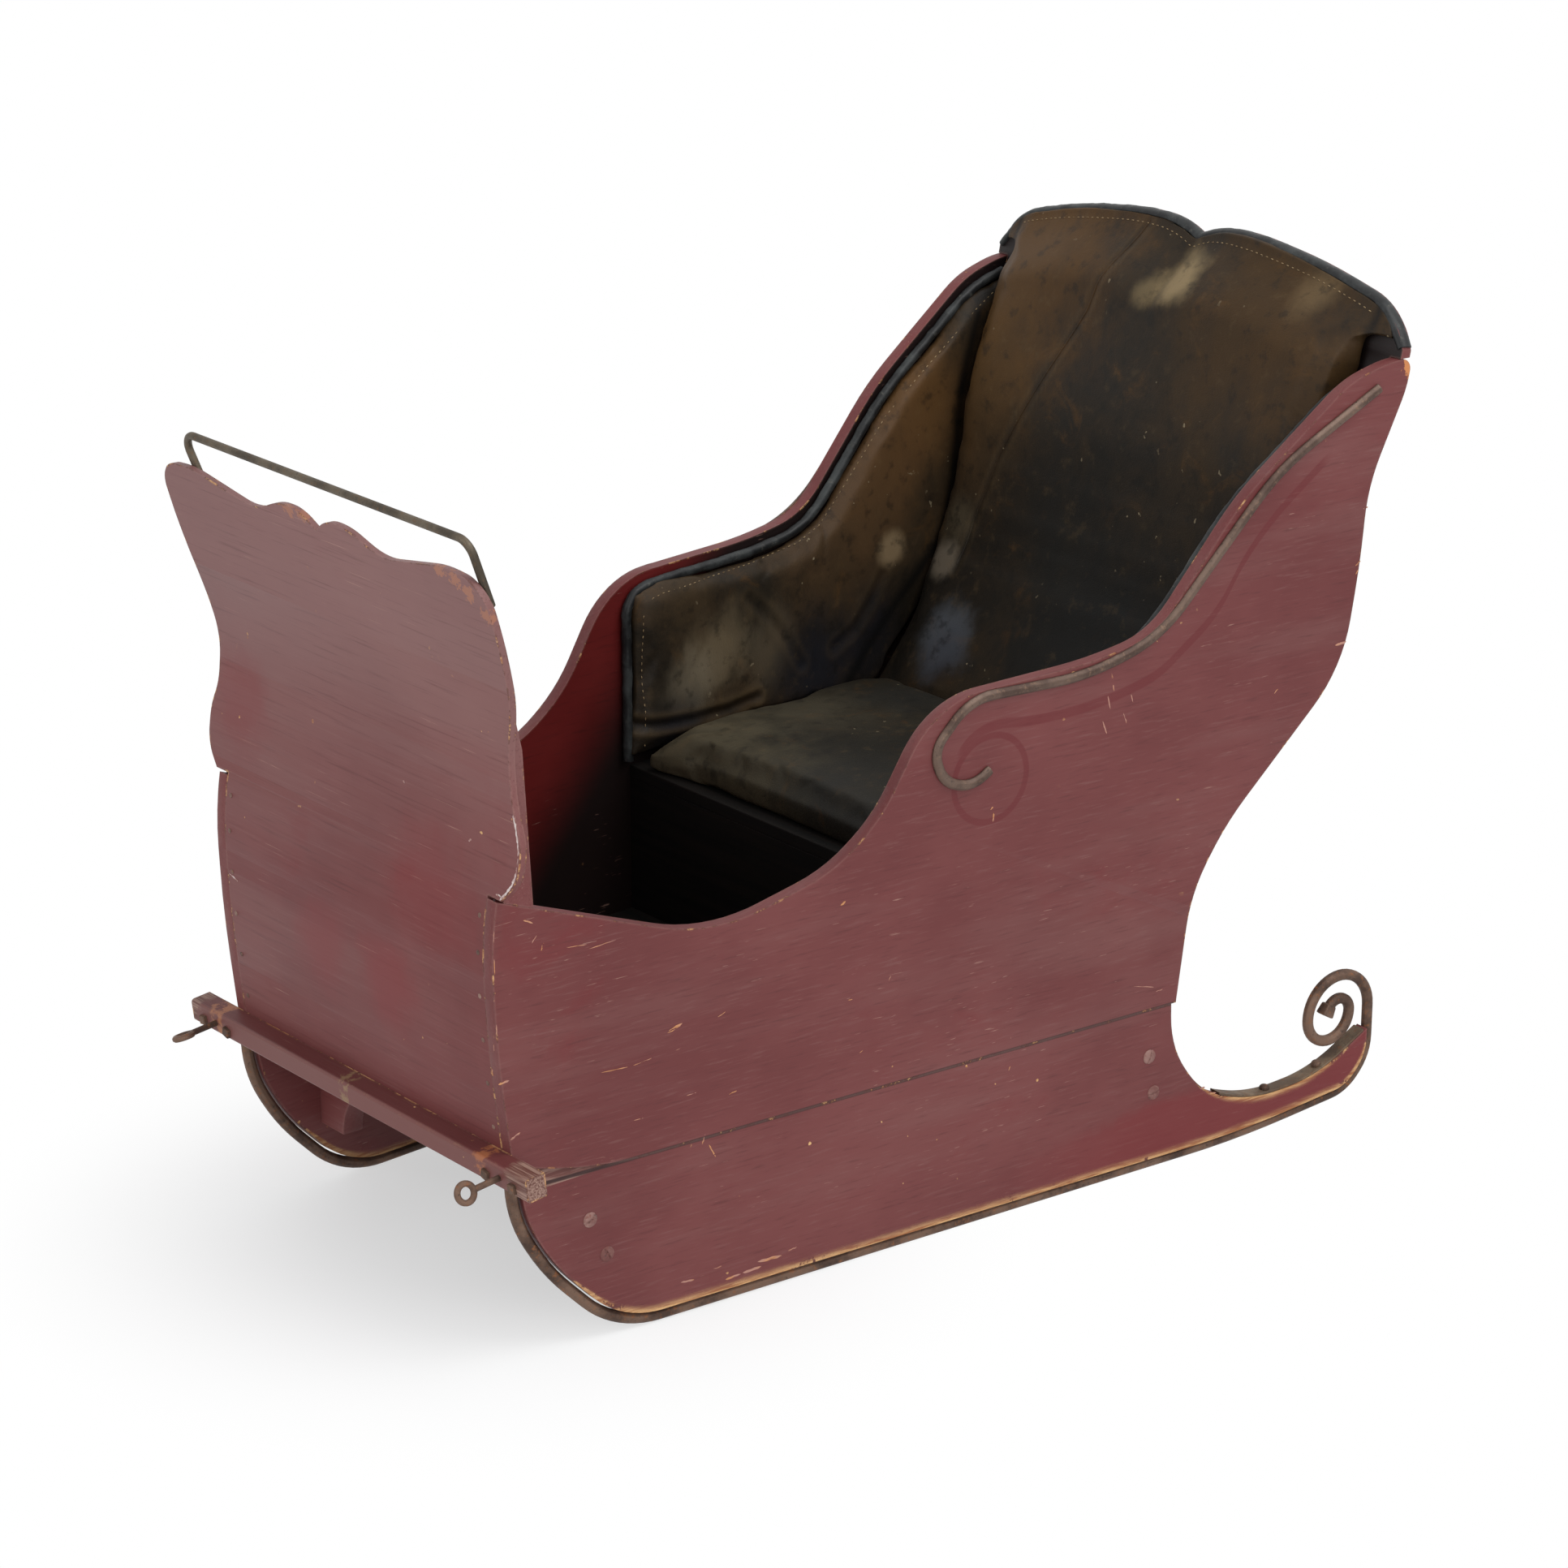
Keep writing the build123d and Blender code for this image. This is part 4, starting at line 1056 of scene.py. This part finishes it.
edge_drop, edge_run = 0.0065, 0.034  # leaves room for the roll on the pad's top edge
rear_gap, rear_run, most_drawn = 0.0015, 0.07, 0.03  # the pad's rear end is drawn to the back board
strip = 0.010
side_pads = []
for hand_name, hand in hands:
    pad = stuffed(f"side_leather_{hand_name}", f"side_pad_{hand_name}", side_leather, 0.005, 0.002, 0.009,
                  lambda n, hand=hand: n.y * hand > 0.5 or n.z < -0.6)
    points = places(pad.data)
    edge_top = edge_of(points, X, Z, np.max, strip)
    rear_end = edge_of(points, Z, X, np.min, strip)
    board = np.array([panel_front(hand * 0.2, min(max(z, 0.30), 0.68)) for z in points[:, 2]]) + rear_gap
    drawn = np.clip(rear_end - board, 0, most_drawn)
    points[:, 0] -= drawn * eased_in(-points[:, 0], -rear_end - rear_run, -rear_end)
    points[:, 2] -= edge_drop * eased_in(points[:, 2], edge_top - edge_run, edge_top)
    set_places(pad.data, points)
    rumple(pad, 0.06, 0.0016, 5.0 + hand)
    inwards = (0, -hand, 0)
    for path, depth, width, grime_and_shade in (
        (((-0.125, 0.428), (-0.150, 0.405), (-0.172, 0.380), (-0.190, 0.352)), 0.0013, 0.0045, 0.16),
        (((0.004, 0.338), (-0.025, 0.334), (-0.060, 0.331), (-0.100, 0.330), (-0.135, 0.334)),
         0.0026, 0.0045, 0.55),
        (((-0.23, 0.360), (-0.255, 0.372), (-0.275, 0.392), (-0.290, 0.415)), 0.0012, 0.005, 0.14),
    ):
        crease(pad, [(x, hand * 0.2, z) for x, z in path], depth, width, inwards, grime_and_shade=grime_and_shade)
    side_pads.append(pad)

# Grime and painted shade gather where the back pad meets the side pads
most_grime_and_shade = 0.95
points = places(back.data)
for hand in (1, -1):
    inner = np.array(side_point(0, 0, -pad_inner, hand))
    aside = np.abs((inner - points) @ np.array(out_of_side(hand)))
    marked(back, "grime_and_shade", most_grime_and_shade * np.exp(-(aside / 0.0038) ** 2))
for pad in side_pads:
    near_back = np.array([skins["back_pad"].find_nearest(Vector(point))[3] for point in places(pad.data)])
    marked(pad, "grime_and_shade", most_grime_and_shade * np.exp(-(near_back / 0.007) ** 2))

for pad, node, fill in ((cushion, "seat_cushion", 0.6), (back, "back_pad", 0.6),
                        (side_pads[0], "side_pad_left", 0.7), (side_pads[1], "side_pad_right", 0.7)):
    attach(pad, "root")
    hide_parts(node)

# Bindings
# A soft leather roll, once black, is tacked round each side pad's front and top and over the back's
# crest. The pad's edge beside it is sewn with pale thread.
binding_leather, tree, shader, where = new_finish("binding_leather", specular=0.28)
worn = speckle(tree, where, 34.0, 5.0, 0.65)
cracks = speckle(tree, where, 150.0, 4.0, 0.65)
base = blended(tree, worn, 0.4, 0.66, srgb(24, 25, 26), srgb(54, 57, 57))
base = tinted(tree, cracks, 0.58, 0.76, 0.45, base, srgb(104, 102, 94))
finish_with(tree, shader, base, scaled(tree, worn, 0.34, 0.58), cracks, 0.4, 0.0006)


def rolled(name, normal_mode):
    tree, given = new_tree(name, ("Width", "NodeSocketFloat"), ("Height", "NodeSocketFloat"),
                           ("Rumple", "NodeSocketFloat"), ("Material", "NodeSocketMaterial"))
    line = value_of(tree, "GeometryNodeMeshToCurve", {"Mesh": given["Geometry"]})
    line = value_of(tree, "GeometryNodeCurveSplineType", {"Curve": line}, spline_type="CATMULL_ROM")
    line = value_of(tree, "GeometryNodeResampleCurve", {"Curve": line, "Length": 0.0035}, mode="LENGTH")
    line = value_of(tree, "GeometryNodeSetCurveNormal", {"Curve": line}, mode=normal_mode)
    ring = value_of(tree, "GeometryNodeCurvePrimitiveCircle", {"Resolution": 14, "Radius": 0.5})
    section = value_of(tree, "ShaderNodeCombineXYZ", {0: given["Width"], 1: given["Height"], 2: 1.0})
    ring = value_of(tree, "GeometryNodeTransform", {"Geometry": ring, "Scale": section})
    parts = {"Curve": line, "Profile Curve": ring, "Fill Caps": True}
    tube = value_of(tree, "GeometryNodeCurveToMesh", parts)
    where = value_of(tree, "GeometryNodeInputPosition")
    waves = value_of(tree, "ShaderNodeTexNoise", {"Vector": where, "Scale": 75.0, "Detail": 3.0})
    waves = times(tree, minus(tree, waves, 0.5), given["Rumple"])
    normal = value_of(tree, "GeometryNodeInputNormal")
    offset = value_of(tree, "ShaderNodeVectorMath", {0: normal, "Scale": waves}, operation="SCALE")
    tube = value_of(tree, "GeometryNodeSetPosition", {"Geometry": tube, "Offset": offset})
    tube = value_of(tree, "GeometryNodeSetShadeSmooth", {"Geometry": tube})
    end_tree(tree, tube, given["Material"])
    return tree


def grown_along(name, path, tree, **values):
    mesh = bpy.data.meshes.new(name)
    mesh.from_pydata([tuple(point) for point in path], [(i, i + 1) for i in range(len(path) - 1)], [])
    return grown_from(name, mesh, tree, "leather", **values)


sewing, given = new_tree("sewing", ("Spacing", "NodeSocketFloat"), ("Length", "NodeSocketFloat"),
                         ("Thickness", "NodeSocketFloat"), ("Material", "NodeSocketMaterial"))
line = value_of(sewing, "GeometryNodeMeshToCurve", {"Mesh": given["Geometry"]})
spaced = {"Curve": line, "Length": given["Spacing"]}
line = value_of(sewing, "GeometryNodeResampleCurve", spaced, mode="LENGTH")
tangent = value_of(sewing, "GeometryNodeInputTangent")
turned = value_of(sewing, "FunctionNodeAlignRotationToVector", {"Vector": tangent}, axis="X")
thread = value_of(sewing, "GeometryNodeMeshIcoSphere", {"Radius": 0.5, "Subdivisions": 1})
thick = given["Thickness"]
size = value_of(sewing, "ShaderNodeCombineXYZ", {0: given["Length"], 1: thick, 2: thick})
sewn = value_of(sewing, "GeometryNodeInstanceOnPoints", {
    "Points": line, "Instance": thread, "Rotation": turned, "Scale": size})
sewn = value_of(sewing, "GeometryNodeRealizeInstances", {"Geometry": sewn})
sewn = value_of(sewing, "GeometryNodeSetShadeSmooth", {"Geometry": sewn})
end_tree(sewing, sewn, given["Material"])
pale_thread, tree, shader, where = new_finish("pale_thread", specular=0.2)
twist = speckle(tree, where, 420.0, 3.0, 0.6)
finish_with(tree, shader, blended(tree, twist, 0.35, 0.65, srgb(112, 92, 66), srgb(172, 148, 112)),
            scaled(tree, twist, 0.7, 0.95), twist, 0.4, 0.0004)

round_roll, flat_roll = rolled("round_roll", "MINIMUM_TWIST"), rolled("flat_roll", "Z_UP")
roll_out = -0.0178  # roll's centre, in from the side's outer face
roll_front = 0.4425  # its upright run's station
roll_drops = (0.0125, 0.0108, 0.0102, *[0.0100] * 16)  # roll's centre below the board's top
stitch_drop, stitch_lift = 0.0180, 0.0002
stitch = {"Spacing": 0.0062, "Length": 0.0034, "Thickness": 0.0009, "Material": pale_thread}
for (hand_name, hand), pad in zip(hands, side_pads):
    stations = (0.4490, 0.4570, 0.4700, *np.linspace(0.50, 0.905, 16))
    board = (f"side_panel_{hand_name}",)
    tops = [touch(board, side_point(station, 1.0, -0.006, hand), (0, 0, -1))[0].z for station in stations]
    upright = (0.304, 0.33, 0.37, 0.41, tops[0] - 0.026)
    path = [side_point(roll_front, height, roll_out, hand) for height in upright]
    path += [side_point(station, top - drop, roll_out, hand)
             for station, top, drop in zip(stations, tops, roll_drops)]
    grown_along(f"binding_side_{hand_name}", path, round_roll,
                Width=0.0088, Height=0.0086, Rumple=0.0026, Material=binding_leather)
    leather_skin = skin_of(pad.data)
    seam = []
    sewn_places = [(roll_front + 0.0105, height) for height in np.linspace(0.318, tops[0] - 0.030, 9)]
    sewn_places += [(station + 0.006, top - stitch_drop) for station, top in list(zip(stations, tops))[1:]]
    for station, height in sewn_places:
        start = side_point(station, height, -0.12, hand)
        place, normal = leather_skin.ray_cast(start, out_of_side(hand))[:2]
        if place is not None:
            seam.append(place + normal * stitch_lift)
    grown_along(f"binding_stitches_{hand_name}", seam, sewing, **stitch)

leather_skin = skin_of(back.data)
seam = []
for first, last in zip(back_seam, back_seam[1:]):
    for share in np.arange(0, 1, 0.125):
        _, across, height = Vector(first).lerp(Vector(last), share)
        place, normal = met_from_front(leather_skin, across, height)
        if place is not None:
            seam.append(place - normal * 0.0001)
grown_along("back_seam_edge", seam, round_roll,
            Width=0.0016, Height=0.0016, Rumple=0.0004, Material=back_leather)

crest_path, crest_seam = [], []
for across in np.linspace(-0.2520, 0.2520, 73):
    top = float(crest_over(across))
    inside = on_panel(across)
    front = panel_front(inside, min(top, float(crest_over(inside))) - 0.004)
    crest_path.append((front - 0.0042, across, top - 0.0026))
    if abs(across) < 0.222:
        place, normal = met_from_front(leather_skin, across, top - 0.0095)
        if place is not None:
            crest_seam.append(place + normal * stitch_lift)
grown_along("binding_crest", crest_path, flat_roll,
            Width=0.0140, Height=0.0078, Rumple=0.0024, Material=binding_leather)
grown_along("binding_stitches_crest", crest_seam, sewing, **stitch)

# Chips
# Flakes of paint knocked off the boards, down to bare wood, where the photograph shows them on the
# near side and a few more on the far side and the back.
chip_wood, tree, shader, where = new_finish("chip_wood", specular=0.2)
fibres = stretched_speckle(tree, where, grain_along(X, 40.0, 500.0), 4.0, 0.6)
tone = speckle(tree, where, 45.0, 3.0)
base = blended(tree, tone, 0.42, 0.58, srgb(196, 140, 98), srgb(178, 132, 118))
base = tinted(tree, fibres, 0.5, 0.7, 0.5, base, srgb(150, 92, 60))
finish_with(tree, shader, base, scaled(tree, fibres, 0.65, 0.9), fibres, 0.3, 0.0004)


def flake():
    shape = bmesh.new()
    rim = (
        (0.5, 0.02), (0.34, 0.31), (0.12, 0.44), (-0.11, 0.30), (-0.29, 0.39), (-0.5, 0.06),
        (-0.38, -0.27), (-0.13, -0.38), (0.07, -0.28), (0.31, -0.42),
    )
    low = [shape.verts.new((x, y, -0.0004)) for x, y in rim]
    high = [shape.verts.new((x * 0.94, y * 0.9, 0.0001)) for x, y in rim]
    shape.faces.new(high)
    shape.faces.new(list(reversed(low)))
    for i in range(len(rim)):
        j = (i + 1) % len(rim)
        shape.faces.new((low[i], low[j], high[j], high[i]))
    mesh = bpy.data.meshes.new("flake")
    shape.to_mesh(mesh)
    shape.free()
    return bpy.data.objects.new("flake", mesh)


near_chips = (  # station, height, length and width in mm, slope in degrees
    (0.1761, 0.2513, 17, 4.5, 18), (0.0181, 0.2445, 10, 4, 10), (0.0273, 0.1972, 11, 3.5, 25),
    (0.0146, 0.2501, 7, 2.5, 80), (0.2032, 0.1490, 9, 2.2, 70), (0.2115, 0.1370, 15, 2.4, -62),
    (0.3398, 0.3198, 6, 4, 30), (0.0860, 0.3415, 20, 1.2, -4), (0.1100, 0.3375, 26, 1.1, 4),
    (0.1190, 0.2300, 26, 1.2, -3), (0.1460, 0.2302, 20, 1.0, 6), (0.1813, 0.2328, 9, 1.2, 12),
    (0.1918, 0.1912, 10, 1.4, 4), (0.2317, 0.1825, 8, 1.2, 8), (0.1415, 0.1823, 9, 1.2, 0),
    (0.2211, 0.2522, 8, 1.1, 20), (0.3593, 0.1869, 6, 1.4, 30), (0.3476, 0.2345, 5, 1.6, 0),
    (0.3866, 0.2437, 6, 1.2, 60), (0.6135, 0.4530, 18, 2.2, -80), (0.6100, 0.4360, 13, 2.2, -76),
    (0.6060, 0.4150, 15, 2.4, -70), (0.6345, 0.4345, 10, 1.8, -72), (0.6275, 0.4185, 13, 2.0, -70),
    (0.8641, 0.4394, 13, 5, 4), (0.4909, 0.3610, 8, 3, 85), (0.4890, 0.3690, 4, 2.4, 40),
    (0.6560, 0.1730, 24, 1.3, -14), (0.6730, 0.1655, 8, 1.6, 4), (0.7924, 0.4103, 6, 2, 40),
    (0.5124, 0.1338, 5, 1.5, 60), (0.5119, 0.1596, 5, 1.5, 50), (0.7329, 0.0622, 7, 3, 0),
    (0.7424, 0.0545, 9, 2.4, -8), (0.2671, 0.0265, 26, 5, -2), (0.2500, 0.0215, 20, 5, 2),
    (0.2310, 0.0205, 16, 4, 4), (0.1866, 0.0290, 14, 3.5, -6), (0.2900, 0.0290, 9, 3, 10),
    (0.2160, 0.0330, 9, 2, 0), (0.0120, 0.3660, 10, 1.4, 88), (0.0118, 0.3420, 14, 1.3, 90),
    (0.0116, 0.3170, 8, 1.6, 84), (0.0125, 0.2900, 9, 1.3, 92), (0.0130, 0.2730, 6, 1.8, 80),
    (0.8900, 0.5080, 7, 2.4, 30), (0.8870, 0.5000, 6, 2, 60), (0.9060, 0.5560, 6, 3, 10),
    (0.0420, 0.3720, 12, 2.0, -30), (0.0480, 0.3560, 8, 1.4, 50), (0.0550, 0.3480, 7, 1.5, 70),
)
chip_width = 0.7  # share of the width in the list that shows
boards = [name for name in skins if name.startswith(("side_panel", "runner"))]
chip_spots = []


def chip_at(place, normal, along, length, width):
    if place is not None:
        chip_spots.append((place, normal, along, (length, width, 1.0)))


for station, height, length, width, slope in near_chips:
    place = None
    while place is None:  # a chip on an edge is moved in until it lies on the board
        place, normal = touch(boards, side_point(station, height, beside), -out_of_side())
        station -= 0.002
    chip_at(place, normal, leaning(math.radians(slope)), length / 1000, chip_width * width / 1000)
rng = random.Random(7)
for _ in range(34):
    station, height = rng.uniform(0.06, 0.66), rng.uniform(0.03, 0.30)
    slant = math.radians(rng.choice((0, 4, -5, 15, 70)))
    length, width = rng.uniform(0.004, 0.014), rng.uniform(0.0012, 0.0032)
    place, normal = touch(boards, side_point(station, height, beside, -1), -out_of_side(-1))
    chip_at(place, normal, leaning(slant, -1), length, width)
for _ in range(22):
    across, height = rng.uniform(-0.19, 0.19), rng.uniform(0.20, 0.70)
    length, width = rng.uniform(0.004, 0.016), rng.uniform(0.0012, 0.0030)
    slant = rng.uniform(-0.3, 0.3)
    place, normal = touch_rear("back_panel", across, height)
    chip_at(place, normal, (0, math.cos(slant), math.sin(slant)), length, width)
seat_shapes("paint_chips", flake(), chip_spots, chip_wood, "painted_wood", ragged=0.0016)

# The dash's near edge has split along a white crack, and a few flakes are off its front
crack_white, tree, shader, where = new_finish("crack_white", specular=0.2)
dusting = speckle(tree, where, 130.0, 4.0, 0.6)
finish_with(tree, shader, blended(tree, dusting, 0.4, 0.62, srgb(214, 200, 196), srgb(158, 116, 108)),
            scaled(tree, dusting, 0.7, 0.95), dusting, 0.3, 0.0004)
crack = (
    (0.2030, 0.4640), (0.2068, 0.4540), (0.2098, 0.4440), (0.2118, 0.4330), (0.2112, 0.4220),
    (0.2080, 0.4120), (0.2025, 0.4040), (0.1960, 0.3965),
)
chip_spots = []
for (y0, z0), (y1, z1) in zip(crack, crack[1:]):
    place, normal = touch_front("dashboard", (y0 + y1) / 2, (z0 + z1) / 2)
    chip_at(place, normal, (0, y1 - y0, z1 - z0), 1.25 * math.hypot(y1 - y0, z1 - z0), 0.0030)
dash_chips = (  # place across, height, length and width in mm, slope in degrees
    (-0.1727, 0.3078, 12, 1.6, -12), (-0.168, 0.3065, 6, 1.2, -20), (0.1945, 0.3930, 9, 4, 50),
    (0.1930, 0.3990, 7, 3, 0), (0.060, 0.452, 3, 2, 0), (0.150, 0.430, 4, 2.4, 40),
)
for across, height, length, width, slope in dash_chips:
    place, normal = touch_front("dashboard", across, height)
    slant = math.radians(slope)
    chip_at(place, normal, (0, math.cos(slant), math.sin(slant)), length / 1000, width / 1000)
seat_shapes("dash_flakes", flake(), chip_spots, crack_white, "painted_wood", ragged=0.0014)
